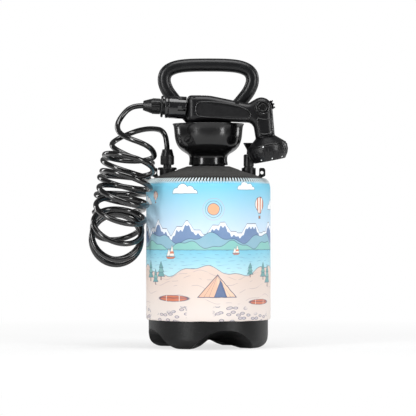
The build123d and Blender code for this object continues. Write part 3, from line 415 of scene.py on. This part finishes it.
def draw_lake_shore(picture, place, blot):
    tree, v = picture.tree, picture.v
    height = v + (blot - 0.5) * 26
    picture.colour = mixed(tree, spread(height, 182, 250, 0, 1), rgb(202, 222, 240), rgb(112, 200, 228))
    picture.stamp(cloud, (
        (-38, 238, 1.0), (62, 244, 0.8), (-128, 222, 0.9), (140, 214, 1.0), (230, 236, 1.1), (-230, 240, 1),
    ))
    picture.shape(picture.disc(8, 214, 9), rgb(240, 176, 136))
    picture.outline(picture.disc(8, 214, 12.5), 0.6)
    picture.outline(picture.disc(8, 214, 16.5), 0.5, TERRACOTTA, 0.6)

    far = picture.ridge(172, (20, 27, 8, True), (7, 9.5, 3, True))
    picture.shape(far, SLATE, 0.8)
    caps = far + 6.5 + ((picture.u * 0.9).sine() * 1.6)
    picture.wash((-caps).inside(0.3) * far.inside(0.3), rgb(236, 242, 250))
    picture.outline(far, 0.8)
    picture.shape(picture.ridge(170, (6, 96, 20, False), (3, 37, 5, False)), rgb(140, 184, 202), 0.8)
    picture.shape(picture.ridge(160, (5, 71, 50, False), (2, 29, 0, False)), rgb(136, 196, 190), 0.8)
    lake = v - 152
    water = mixed(tree, spread(height, 118, 152, 0, 1), rgb(186, 226, 234), rgb(118, 196, 220))
    picture.wash(lake.inside(0.3), water)
    picture.outline(lake, 0.7)
    rows = (v / 5.5 + (picture.u * 0.11).sine() * 0.16).math("FRACT") - 0.5
    dashes = (picture.u * 0.34 + (v * 0.9).sine() * 3).sine() - 0.45
    ripple = rows.stroke(0.13, 0.05) * (-dashes).inside(0.1)
    picture.wash(ripple * lake.inside(0.3) * 0.5, rgb(70, 104, 156))
    picture.stamp(boat, ((-62, 140, 0.9), (44, 146, 0.62), (176, 140, 1.0), (-190, 142, 1)))
    picture.stamp(balloon, ((92, 222, 1.0), (-96, 236, 0.55), (-160, 226, 0.9), (205, 210, 0.8)))

    shore = picture.ridge(120, (7, 122, 40, False), (2.5, 43, 8, False))
    sand = mixed(tree, spread(height, 60, 112, 0, 1), rgb(228, 217, 210), rgb(224, 204, 192))
    picture.wash(shore.inside(0.3), sand)
    picture.outline(shore, 0.8)
    broken = spread(noise_value(tree, place, 55, 2), 0.44, 0.5, 0, 1).clamped()
    for depth in (6, 15, 28, 44):
        long_wave = (6, 110 + depth, 40 + depth, False)
        short_wave = (1.8, 39, 8 + 2 * depth, False)
        contour = picture.ridge(120 - depth, long_wave, short_wave)
        picture.wash(contour.stroke(0.55, 0.3) * broken * 0.6, rgb(140, 120, 140))
    picture.stamp(pine, (
        (-112, 106, 1.15), (-96, 100, 0.9), (-82, 108, 1.05),
        (70, 112, 0.8), (118, 98, 1.25), (102, 108, 1.0),
        (168, 104, 1.1), (-168, 104, 1.2), (-210, 108, 1.0), (236, 106, 1.2),
    ))
    picture.stamp(tent, ((14, 80, 1.0), (-250, 82, 1.0)))
    picture.stamp(canoe, ((-58, 78, 1.0), (92, 72, 0.85), (190, 76, 0.9)))

    cells = tree.nodes.new("ShaderNodeTexVoronoi")
    cells.voronoi_dimensions = "2D"
    cells.inputs["Scale"].default_value = 1
    flat = tree.nodes.new("ShaderNodeCombineXYZ")
    tree.links.new((picture.u / 13).socket, flat.inputs[0])
    tree.links.new((v / 7).socket, flat.inputs[1])
    tree.links.new(flat.outputs[0], cells.inputs["Vector"])
    stone = (Value(tree, cells.outputs["Distance"]) - 0.27) * 9
    patches = spread(noise_value(tree, place, 16, 1), 0.52, 0.56, 0, 1).clamped() * (v - 66).inside(0.5)
    picture.wash(stone.inside(0.3) * patches, mixed(tree, blot, rgb(176, 196, 214), rgb(226, 190, 176)))
    picture.wash(stone.stroke(0.8, 0.3) * patches * 0.8, NAVY)


SEAM_BAND = 0.2566  # above this height the sleeve's dark edging shows between the stitches


def make_sleeve_finish():
    material, tree, shader = new_tree("printed_sleeve")
    place = coordinates(tree)
    parts = tree.nodes.new("ShaderNodeSeparateXYZ")
    tree.links.new(place, parts.inputs[0])
    x, y, z = (Value(tree, out) for out in parts.outputs)
    blot = noise_value(tree, place, 30, 5, 0.6)
    shake = (noise_value(tree, place, 130, 2) - 0.5) * 1.6
    picture = Picture(tree, x.math("ARCTAN2", -y) * (1000 * SLEEVE_R) + shake, z * 1000 + shake * 0.8)
    draw_lake_shore(picture, place, blot)
    thread = ((picture.u * (TAU / 0.9)).sine() + 1) * ((picture.v * (TAU / 0.7)).sine() + 1)
    worn = mixed(tree, spread(blot, 0.35, 0.75, 0, 0.12), picture.colour, rgb(226, 230, 238))
    seam = spread(z, SEAM_BAND - 0.0001, SEAM_BAND + 0.0001, 0, 1).clamped()
    worn = mixed(tree, seam, worn, rgb(26, 26, 28))
    tree.links.new(worn, shader.inputs["Base Color"])
    tree.links.new(spread(blot, 0.3, 0.7, 0.62, 0.78).socket, shader.inputs["Roughness"])
    shader.inputs["Sheen Weight"].default_value = 0.1
    shader.inputs["Specular IOR Level"].default_value = 0.3
    bump(tree, shader, thread + blot * 4, 0.12, 0.0004)
    return material


def make_woven_finish():
    material, tree, shader = new_tree("black_fabric")
    place = coordinates(tree)
    parts = tree.nodes.new("ShaderNodeSeparateXYZ")
    tree.links.new(place, parts.inputs[0])
    x, y, z = (Value(tree, out) for out in parts.outputs)
    warp, weft = (x * (TAU / 0.0011)).sine(), (y * (TAU / 0.0011)).sine()
    blot = noise_value(tree, place, 45, 5, 0.65)
    base = mixed(tree, spread(blot + warp * weft * 0.12, 0.35, 0.75, 0, 1), rgb(17, 16, 14), rgb(34, 32, 28))
    tree.links.new(base, shader.inputs["Base Color"])
    tree.links.new(spread(blot, 0.3, 0.7, 0.75, 0.9).socket, shader.inputs["Roughness"])
    shader.inputs["Sheen Weight"].default_value = 0.12
    shader.inputs["Specular IOR Level"].default_value = 0.25
    bump(tree, shader, warp * weft * 0.5 + blot * 2, 0.35, 0.0005)
    return material


def lathe(name, rows, count, place, material):
    """A closed band turned round the tank; place(row, angle) gives radius and height, rows wrap round."""
    vertices = []
    for k in range(count):
        angle = TAU * k / count
        for row in range(rows):
            radius, height = place(row, angle)
            vertices.append((radius * math.sin(angle), -radius * math.cos(angle), height))
    faces = []
    for k in range(count):
        after = (k + 1) % count
        for row in range(rows):
            up = (row + 1) % rows
            faces.append((k * rows + row, after * rows + row, after * rows + up, k * rows + up))
    return mesh_piece(name, vertices, faces, material)


def sleeve_profile():
    """Outer line from the foot up, then the inner line down, in metres from the axis."""
    outer = [
        (0.0938, SLEEVE_FOOT),
        (0.0950, SLEEVE_FOOT - 0.0003),
        (0.0964, SLEEVE_FOOT + 0.0005),
        (0.0968, SLEEVE_FOOT + 0.002),
    ]
    steps = 34
    for i in range(1, steps):
        outer.append((0.0969, SLEEVE_FOOT + 0.002 + (0.2475 - SLEEVE_FOOT - 0.002) * i / steps))
    for i in range(9):
        turn = math.radians(8 + 7.2 * i)
        outer.append((0.0812 + 0.0157 * math.cos(turn), 0.2464 + 0.0166 * math.sin(turn)))
    outer.append((0.0889, SEAM_Z - 0.0004))
    inner = [
        (0.0890, SEAM_Z - 0.0016),
        (0.0926, 0.2560),
        (0.0934, 0.2500),
        (0.0934, 0.1500),
        (0.0934, SLEEVE_FOOT + 0.002),
    ]
    return outer, inner


def make_sleeve():
    outer, inner = sleeve_profile()
    profile = outer + inner

    def place(row, angle):
        radius, height = profile[row]
        if row < len(outer):
            spot = Vector((3.2 * math.sin(angle), 3.2 * math.cos(angle), height * 22))
            folds = noise.noise(spot) * 0.00022
            foot = max(0, 1 - (height - SLEEVE_FOOT) / 0.012)
            folds += foot * 0.00035 * noise.noise(Vector((9 * math.sin(angle), 9 * math.cos(angle), 4)))
            radius += folds
            height += foot * 0.0006 * noise.noise(Vector((5 * math.sin(angle), 5 * math.cos(angle), 9)))
        return radius, height

    sleeve = lathe("sleeve", len(profile), 240, place, make_sleeve_finish())
    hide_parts("sleeve_wrap")
    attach(sleeve, "root")
    return sleeve


def shoulder_height(radius):
    """Top of the tank's shoulder at a distance from the axis."""
    for (r0, z0), (r1, z1) in zip(SHOULDER, SHOULDER[1:]):
        if r1 <= radius <= r0:
            return z0 + (z1 - z0) * (r0 - radius) / (r0 - r1)
    return SHOULDER[-1][1]


SHOULDER = [
    (0.0930, 0.2480), (0.0915, 0.2545), (0.0880, 0.2594), (0.0830, 0.2621),
    (0.0700, 0.2663), (0.0560, 0.2704), (0.0440, 0.2744), (0.0310, 0.2790),
]


def make_top_panel(material):
    """Black fabric over the shoulder, open over the fittings and lugs at both sides."""
    count = 240
    steps = 22
    inner_r, outer_r = 0.0330, 0.0893
    open_half = math.radians(15)
    radii = [outer_r + (inner_r - outer_r) * i / steps for i in range(steps + 1)]
    vertices = []
    for k in range(count):
        angle = TAU * k / count
        for lift in (0.0004, 0.0030):
            for radius in radii:
                spot = Vector((4 * math.sin(angle), 4 * math.cos(angle), radius * 40))
                fold = 0.0005 * max(0, noise.noise(spot))
                height = shoulder_height(radius) + lift + (fold if lift > 0.001 else 0)
                vertices.append((radius * math.sin(angle), -radius * math.cos(angle), height))
    size = 2 * (steps + 1)

    def kept(k, i):
        away = abs((TAU * (k + 0.5) / count) % math.pi - math.pi / 2)
        return not (away < open_half and radii[i + 1] > 0.0480)

    faces = []
    for k in range(count):
        here, after = k * size, (k + 1) % count * size
        for i in range(steps):
            if not kept(k, i):
                continue
            top, low = steps + 1 + i, i
            faces.append((here + top, after + top, after + top + 1, here + top + 1))
            faces.append((here + low, here + low + 1, after + low + 1, after + low))
            if i == 0 or not kept(k, i - 1):
                faces.append((here + low, after + low, after + top, here + top))
            if i == steps - 1 or not kept(k, i + 1):
                faces.append((here + low + 1, here + top + 1, after + top + 1, after + low + 1))
            if not kept((k - 1) % count, i):
                faces.append((here + low, here + top, here + top + 1, here + low + 1))
            if not kept((k + 1) % count, i):
                faces.append((after + low, after + low + 1, after + top + 1, after + top))
    panel = mesh_piece("shoulder_panel", vertices, faces, material)
    clean(panel)
    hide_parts("sleeve_top_panel")
    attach(panel, "root")
    return panel


def clean(piece):
    """Drops unused points and turns the faces outward."""
    work = bmesh.new()
    work.from_mesh(piece.data)
    bmesh.ops.delete(work, geom=[v for v in work.verts if not v.link_faces], context="VERTS")
    bmesh.ops.recalc_face_normals(work, faces=work.faces)
    work.to_mesh(piece.data)
    work.free()


def thread_loops(name, paths, radius, material):
    """Many short threads in one mesh, each along its own few points."""
    vertices, faces = [], []
    sides = 5
    for path in paths:
        start = len(vertices)
        for i, point in enumerate(path):
            direction = (path[min(i + 1, len(path) - 1)] - path[max(i - 1, 0)]).normalized()
            side = direction.cross(Vector((0, 0, 1))).normalized()
            other = direction.cross(side)
            thin = radius * (0.55 if i in (0, len(path) - 1) else 1)
            for k in range(sides):
                angle = TAU * k / sides
                vertices.append(point + (side * math.cos(angle) + other * math.sin(angle)) * thin)
        for i in range(len(path) - 1):
            for k in range(sides):
                a, b = start + i * sides + k, start + i * sides + (k + 1) % sides
                faces.append((a, b, b + sides, a + sides))
        faces.append(tuple(range(start, start + sides)))
        faces.append(tuple(range(len(vertices) - sides, len(vertices))))
    piece = mesh_piece(name, vertices, faces, material)
    clean(piece)
    return piece


def make_overlock():
    """Pale overlock stitches over the seam between sleeve and shoulder panel."""
    paths = []
    count = 236
    for i in range(count):
        angle = TAU * i / count
        slant = 0.0030 * (1 if i % 2 else 0.4)
        path = []
        for share, around in ((0, 26), (0.25, 36), (0.5, 46), (0.75, 56), (1, 66)):
            turn = math.radians(around)
            radius, height = 0.0812 + 0.0164 * math.cos(turn), 0.2464 + 0.0174 * math.sin(turn)
            turn = angle + slant * share / 0.09
            path.append(Vector((radius * math.sin(turn), -radius * math.cos(turn), height)))
        paths.append(path)
    thread = moulded("thread", rgb(222, 234, 240), 0.7, 0.2, 1500)
    stitches = thread_loops("overlock_stitches", paths, 0.00055, thread)
    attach(stitches, "root")


# Hose: one smooth line from the tank's nut through the coil to the quick connector

TANK_LEAD = [
    (-0.064, 0, 0.29612),
    (-0.064, 0, 0.3181),
    (-0.070, 0.010, 0.3381),
    (-0.084, 0.030, 0.3511),
    (-0.109, 0.058, 0.3481),
    (-0.1262, 0.0806, 0.3291),
]
GUN_LEAD = [
    (-0.1546, -0.0560, 0.3235),
    (-0.1500, -0.0430, 0.3420),
    (-0.1370, -0.0350, 0.3610),
    (-0.122, -0.033, 0.3715),
    (-0.10489, -0.032, 0.37512),
    (-0.08893, -0.032, 0.37423),
]
COIL_LINE = [
    (-0.117, -0.052, 0.320),
    (-0.124, -0.070, 0.268),
    (-0.133, -0.070, 0.222),
    (-0.141, -0.048, 0.178),
    (-0.144, 0.008, 0.162),
    (-0.144, 0.052, 0.188),
    (-0.137, 0.055, 0.255),
    (-0.120, 0.042, 0.320),
]
HOSE_R = 0.0042
COIL_R = 0.0400
COIL_TURNS = 14
PER_TURN = 16
TANK_PHASE = -78
GUN_PHASE = 22


def smooth_line(name, points, resolution):
    """Points on the smooth line that has these control points."""
    curve = bpy.data.curves.new(name, "CURVE")
    curve.dimensions = "3D"
    curve.resolution_u = resolution
    spline = curve.splines.new("NURBS")
    spline.points.add(len(points) - 1)
    for entry, point in zip(spline.points, points):
        entry.co = (*point, 1)
    spline.order_u = 3
    spline.use_endpoint_u = True
    carrier = bpy.data.objects.new(name, curve)
    mesh = bpy.data.meshes.new_from_object(carrier)
    line = [v.co.copy() for v in mesh.vertices]
    bpy.data.objects.remove(carrier)
    bpy.data.meshes.remove(mesh)
    return line


def frames_along(line, side):
    """Direction and two sides at each point, carried along without twist."""
    result = []
    for i, point in enumerate(line):
        direction = (line[min(i + 1, len(line) - 1)] - line[max(i - 1, 0)]).normalized()
        side = (side - direction * side.dot(direction)).normalized()
        result.append((direction, side, direction.cross(side)))
    return result


def coil_points():
    """Control points of the coil's turns, from the tank's end to the gun's."""
    middle = smooth_line("coil_middle", COIL_LINE[::-1], 24)
    reach = [0.0]
    for before, here in zip(middle, middle[1:]):
        reach.append(reach[-1] + (here - before).length)
    axes = frames_along(middle, Vector((-1, 0, 0)))
    up = -axes[0][0]
    start = math.radians(TANK_PHASE)
    direction, side, other = axes[-1]
    gun_side = (Vector((-1, 0, 0)) + direction * direction.x).normalized()
    gun_other = direction.cross(gun_side)
    aim = gun_side * math.cos(math.radians(GUN_PHASE)) + gun_other * math.sin(math.radians(GUN_PHASE))
    end = math.atan2(aim.dot(other), aim.dot(side))
    sense = 1 if axes[0][0].cross(axes[0][1]).dot(up.cross(axes[0][1])) > 0 else -1
    first = start * sense
    sweep = COIL_TURNS * TAU + ((end - first) * sense) % TAU
    count = round(sweep / TAU * PER_TURN)
    steps = []
    for i in range(count + 1):
        from_end = min(i, count - i) / PER_TURN
        steps.append(1 + 0.5 * math.exp(-((from_end / 0.45) ** 2)))
    travelled = [sum(steps[:i]) / sum(steps[:count]) for i in range(count + 1)]
    points = []
    for i in range(3, count - 2):
        part = i / count
        distance = travelled[i] * reach[-1]
        j = max(k for k in range(len(reach)) if reach[k] <= distance + 1e-9)
        direction, side, other = axes[j]
        after = min(j + 1, len(middle) - 1)
        gap = reach[after] - reach[j]
        centre = middle[j].lerp(middle[after], (distance - reach[j]) / gap if gap > 0 else 0)
        angle = first + sense * part * sweep
        wander = noise.noise(Vector((part * 9, 3.1, 0)))
        radius = COIL_R - 0.0008 + 0.0014 * wander
        tilt = 0.007 * noise.noise(Vector((part * 7, 7.7, 0))) * math.sin(angle)
        points.append(centre + (side * math.cos(angle) + other * math.sin(angle)) * radius + direction * tilt)
    return points


def tube(name, line, radius, sides, material):
    """A closed round tube along a line of points."""
    vertices, faces = [], []
    axes = frames_along(line, Vector((1, 0.2, 0.1)))
    for point, (direction, side, other) in zip(line, axes):
        for k in range(sides):
            angle = TAU * k / sides
            vertices.append(point + (side * math.cos(angle) + other * math.sin(angle)) * radius)
    for i in range(len(line) - 1):
        for k in range(sides):
            a, b = i * sides + k, i * sides + (k + 1) % sides
            faces.append((a, b, b + sides, a + sides))
    faces.append(tuple(range(sides))[::-1])
    faces.append(tuple(range(len(vertices) - sides, len(vertices))))
    return mesh_piece(name, vertices, faces, material)


def eased(route, joins):
    """The same points with the bends where lead and coil meet spread over their neighbours."""
    reach, passes = 5, 3
    moving = sorted({
        i for join in joins for i in range(join - reach, join + reach) if 3 <= i < len(route) - 3
    })
    for _ in range(passes):
        before = list(route)
        for i in moving:
            route[i] = before[i] * 0.5 + (before[i - 1] + before[i + 1]) * 0.25
    return route


def make_hose():
    coil = coil_points()
    route = [Vector(point) for point in TANK_LEAD] + coil + [Vector(point) for point in GUN_LEAD]
    route = eased(route, (len(TANK_LEAD), len(route) - len(GUN_LEAD)))
    line = smooth_line("hose_line", route, 6)
    hose = tube("hose", line, HOSE_R, 14, FINISH["hose"])
    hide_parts("hose_coil", "hose_lead_tank", "hose_lead_gun")
    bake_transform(hose)
    return hose


# Funnel: one smooth bowl on its waisted neck

FUNNEL_OUTER = [
    (29.9, 283.5), (30.4, 284.1), (30.2, 286.0), (29.5, 289.5), (29.3, 294.0), (29.9, 297.6),
    (32.4, 300.4), (37.0, 303.2), (42.2, 306.6), (46.8, 311.4), (50.2, 318.0), (52.2, 326.0),
    (53.0, 334.0), (53.6, 341.0), (54.5, 345.2), (55.4, 346.6),
    (55.8, 347.3), (55.4, 347.9), (54.6, 348.1), (53.7, 347.8),
]
FUNNEL_INNER = [
    (52.3, 344.5), (51.3, 340.0), (50.6, 333.5), (49.8, 326.4), (47.9, 319.0), (44.8, 313.0),
    (40.6, 308.6), (35.8, 305.4),
    (31.4, 302.9),
]


FUNNEL_FLOOR = 296.2
FUNNEL_FLOOR_TOP = 298.8


def make_funnel():
    """A smooth turned bowl in place of the CAD one, with the same foot, floor and rim."""
    outer = smooth_line("funnel_outer", [Vector((r, z, 0)) for r, z in FUNNEL_OUTER], 4)
    inner = smooth_line("funnel_inner", [Vector((r, z, 0)) for r, z in FUNNEL_INNER], 4)
    floor = [
        (28.6, FUNNEL_FLOOR_TOP),
        (23.3, FUNNEL_FLOOR_TOP),
        (23.3, FUNNEL_FLOOR),
        (25.8, FUNNEL_FLOOR),
        (25.8, 283.5),
    ]
    profile = [(point.x, point.y) for point in outer + inner] + floor
    profile = [(r / 1000, z / 1000) for r, z in profile]
    gloss = FINISH["gloss_black"]
    funnel = lathe("filling_funnel", len(profile), 128, lambda row, angle: profile[row], gloss)
    clean(funnel)
    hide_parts("funnel")
    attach(funnel, "root")


def make_relief_spring():
    """The relief spring as a mesh of its own, attached to the root body."""
    source = frame["nodes"]["relief_spring"]
    mesh = source.data.copy()
    mesh.transform(source.matrix_world)
    spring = bpy.data.objects.new("valve_spring", mesh)
    bpy.context.collection.objects.link(spring)
    dress(spring, FINISH["steel"])
    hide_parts("relief_spring")
    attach(spring, "root")
    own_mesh(spring)


# Handle: the CAD loop with rounder corners and an oval section

HANDLE_LINE = [
    (0.0, 0.4397), (0.030, 0.4394), (0.052, 0.4368), (0.0665, 0.4290), (0.0700, 0.4150),
    (0.0640, 0.3990), (0.0530, 0.3850), (0.0400, 0.3700), (0.0270, 0.3560),
]


def make_handle():
    """Oval tube along the loop, grown together with the lower part of the CAD handle."""
    half = [Vector((x, 0, z)) for x, z in HANDLE_LINE]
    points = [Vector((-point.x, 0, point.z)) for point in half[:0:-1]] + half
    line = smooth_line("handle_line", points, 8)
    vertices, faces = [], []
    sides = 28
    for i, point in enumerate(line):
        direction = (line[min(i + 1, len(line) - 1)] - line[max(i - 1, 0)]).normalized()
        out = Vector((direction.z, 0, -direction.x))
        for k in range(sides):
            angle = TAU * k / sides
            c, n = math.cos(angle), math.sin(angle)
            across = math.copysign(abs(c) ** 0.86, c) * 0.0103
            deep = math.copysign(abs(n) ** 0.86, n) * 0.0113
            vertices.append(point + out * across + Vector((0, 1, 0)) * deep)
    for i in range(len(line) - 1):
        for k in range(sides):
            a, b = i * sides + k, i * sides + (k + 1) % sides
            faces.append((a, b, b + sides, a + sides))
    faces.append(tuple(range(sides))[::-1])
    faces.append(tuple(range(len(vertices) - sides, len(vertices))))
    handle = mesh_piece("handle", vertices, faces, FINISH["handle_plastic"])

    source = frame["nodes"]["pump_handle"]
    work = bmesh.new()
    work.from_mesh(source.data)
    work.transform(source.matrix_world)
    bmesh.ops.remove_doubles(work, verts=work.verts, dist=1e-6)
    whole = work.verts[:] + work.edges[:] + work.faces[:]
    bmesh.ops.bisect_plane(work, geom=whole, plane_co=(0, 0, 0.380), plane_no=(0, 0, 1), clear_outer=True)
    bmesh.ops.holes_fill(work, edges=[e for e in work.edges if e.is_boundary], sides=0)
    work.from_mesh(handle.data)
    bmesh.ops.recalc_face_normals(work, faces=work.faces)
    work.to_mesh(handle.data)
    work.free()
    remesh = handle.modifiers.new("remesh", "REMESH")
    remesh.mode = "VOXEL"
    remesh.voxel_size = 0.0011
    smooth = handle.modifiers.new("smooth", "SMOOTH")
    smooth.factor = 0.5
    smooth.iterations = 8
    shape = bpy.data.meshes.new_from_object(handle.evaluated_get(bpy.context.evaluated_depsgraph_get()))
    handle.modifiers.clear()
    handle.data = shape
    shape.shade_smooth()
    dress(handle, FINISH["handle_plastic"])
    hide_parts("pump_handle")
    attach(handle, "pump")


# Raised lines and rings on the handset, laid on the CAD surface below them; width and height in mm

PAD_LINE = [
    (-19.65, 367.96), (-18.72, 377.24), (-11.29, 380.02), (10.36, 379.41), (36.66, 375.38),
    (53.68, 370.74), (65.28, 364.09), (65.28, 354.65), (55.23, 353.11), (33.57, 354.34),
    (7.27, 355.89), (-12.84, 356.82), (-18.72, 359.60), (-19.65, 367.96),
]
NECK_LINE = [
    (76.11, 354.81), (86.17, 351.25), (96.22, 354.81), (98.23, 343.21), (98.54, 332.38),
    (87.71, 329.28), (79.21, 330.83), (75.03, 343.21), (76.11, 354.81),
]
PIVOT = (84.00, 371.05)


def bead(name, spots, radius, nodes, body):
    """A thin raised line over the front of the named nodes."""
    path = []
    for x, z in spots:
        found = surface_below(x, z, nodes)
        if found:
            path.append(found[0] + found[1] * radius * 0.35)
    if len(path) < 4:
        return
    piece = tube(name, path, radius, 8, FINISH["connector_gloss"])
    clean(piece)
    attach(piece, body)


def make_handset_lines():
    shells = ("grip_shell_front", "grip_pad_front")
    for name, outline in (("pad_edge", PAD_LINE), ("neck_edge", NECK_LINE)):
        flat = [Vector((x / 1000, z / 1000, 0)) for x, z in outline]
        line = smooth_line(name, flat, 10)
        bead(name, [(point.x, point.y) for point in line], 0.0010, shells, "handset")
    centre = (PIVOT[0] / 1000, PIVOT[1] / 1000)
    for name, reach, thick in (("pivot_ring", 0.0098, 0.0011), ("pivot_rim", 0.0056, 0.0008)):
        ring = [
            (centre[0] + reach * math.cos(TAU * k / 60), centre[1] + reach * math.sin(TAU * k / 60))
            for k in range(61)
        ]
        bead(name, ring, thick, ("pivot_cap",), "lever")


# White marks on the spray head, laid on the CAD surface below them

def surface_below(x, z, nodes):
    """Nearest point, normal and node that a line straight back from the front meets."""
    found = None
    for name in nodes:
        piece = frame["nodes"][name]
        turn = piece.matrix_world
        back = turn.inverted()
        start = back @ Vector((x, -0.3, z))
        along = (back.to_3x3() @ Vector((0, 1, 0))).normalized()
        hit, point, normal, _ = piece.ray_cast(start, along)
        if hit:
            point = turn @ point
            if found is None or point.y < found[0].y:
                found = (point, (turn.to_3x3() @ normal).normalized(), name)
    return found


def make_marks():
    """Pips for the spray patterns and the index dot beside them."""
    paint = moulded("white_mark", rgb(232, 234, 236), 0.5, 0.2, 2500)
    groups = {}
    for x, z, radius in (
        (0.0815, 0.2895, 0.0011),
        (0.0981, 0.2923, 0.0011),
        (0.1136, 0.2955, 0.0011),
        (0.0840, 0.3097, 0.0013),
    ):
        found = surface_below(x, z, ("rose_face", "rose_dial", "rose_body"))
        if found is None:
            continue
        centre, normal, node = found
        side = normal.cross(Vector((0, 0, 1))).normalized()
        other = normal.cross(side)
        vertices, faces = groups.setdefault(node, ([], []))
        start = len(vertices)
        rows = ((1.0, -0.0003), (0.95, 0.0001), (0.6, 0.00028))
        for share, lift in rows:
            for k in range(20):
                angle = TAU * k / 20
                out = side * math.cos(angle) + other * math.sin(angle)
                vertices.append(centre + out * radius * share + normal * lift)
        for row in range(len(rows) - 1):
            for k in range(20):
                a, b = start + row * 20 + k, start + row * 20 + (k + 1) % 20
                faces.append((a, b, b + 20, a + 20))
        faces.append(tuple(start + k for k in range(20)))
        faces.append(tuple(start + 40 + k for k in range(20)))
    for node, (vertices, faces) in groups.items():
        marks = mesh_piece("marks_" + node, vertices, faces, paint)
        clean(marks)
        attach(marks, "handset" if node == "rose_body" else "dial")


# Stage: pale floor, white surroundings and soft lights

def make_stage():
    mesh = bpy.data.meshes.new("floor")
    corners = [(-6, -6, -0.0004), (6, -6, -0.0004), (6, 6, -0.0004), (-6, 6, -0.0004)]
    mesh.from_pydata(corners, [], [(0, 1, 2, 3)])
    floor = bpy.data.objects.new("floor", mesh)
    bpy.context.collection.objects.link(floor)
    material, tree, shader = new_tree("floor")
    shader.inputs["Base Color"].default_value = (0.9, 0.9, 0.9, 1)
    shader.inputs["Roughness"].default_value = 0.9
    glow = tree.nodes.new("ShaderNodeEmission")
    mix = tree.nodes.new("ShaderNodeMixShader")
    rays = tree.nodes.new("ShaderNodeLightPath")
    parts = tree.nodes.new("ShaderNodeSeparateXYZ")
    tree.links.new(coordinates(tree), parts.inputs[0])
    x, y = Value(tree, parts.outputs[0]), Value(tree, parts.outputs[1])
    away = (x * x + y * y).math("SQRT")
    glowing = spread(away, 0.3, 1.1, 0.7, 1).clamped()
    share = Value(tree, rays.outputs["Is Camera Ray"]) * glowing
    tree.links.new(share.socket, mix.inputs[0])
    tree.links.new(shader.outputs[0], mix.inputs[1])
    tree.links.new(glow.outputs[0], mix.inputs[2])
    tree.links.new(mix.outputs[0], tree.nodes["Material Output"].inputs["Surface"])
    dress(floor, material)

    world = bpy.data.worlds.new("studio")
    world.use_nodes = True
    bpy.context.scene.world = world
    tree = world.node_tree
    tree.nodes.clear()
    rays = tree.nodes.new("ShaderNodeLightPath")
    plain = tree.nodes.new("ShaderNodeBackground")
    plain.inputs["Strength"].default_value = 0.14
    white = tree.nodes.new("ShaderNodeBackground")
    white.inputs["Strength"].default_value = 1.0
    mix = tree.nodes.new("ShaderNodeMixShader")
    out = tree.nodes.new("ShaderNodeOutputWorld")
    for background in (plain, white):
        background.inputs["Color"].default_value = (1, 1, 1, 1)
    tree.links.new(rays.outputs["Is Camera Ray"], mix.inputs[0])
    tree.links.new(plain.outputs[0], mix.inputs[1])
    tree.links.new(white.outputs[0], mix.inputs[2])
    tree.links.new(mix.outputs[0], out.inputs["Surface"])

    for name, place, size, power in (
        ("key", (-1.5, -1.7, 0.9), (0.4, 1.6), 30),
        ("fill", (1.7, -1.5, 0.7), (0.4, 1.6), 24),
        ("top", (0.1, -0.5, 1.9), (1.4, 1.0), 24),
        ("rim_left", (-1.6, 0.9, 0.8), (0.3, 1.4), 9),
        ("rim_right", (1.6, 0.9, 0.8), (0.3, 1.4), 9),
    ):
        light = bpy.data.lights.new(name, "AREA")
        light.shape = "RECTANGLE"
        light.size, light.size_y = size
        light.energy = power
        lamp = bpy.data.objects.new(name, light)
        bpy.context.collection.objects.link(lamp)
        lamp.location = place
        aim = Vector((0, 0, 0.24)) - Vector(place)
        lamp.rotation_euler = aim.to_track_quat("-Z", "Y").to_euler()
    bpy.context.scene.view_settings.view_transform = "Standard"


dress_nodes()
make_sleeve()
make_top_panel(make_woven_finish())
make_overlock()
make_hose()
make_funnel()
make_relief_spring()
make_handle()
make_marks()
make_handset_lines()
make_stage()
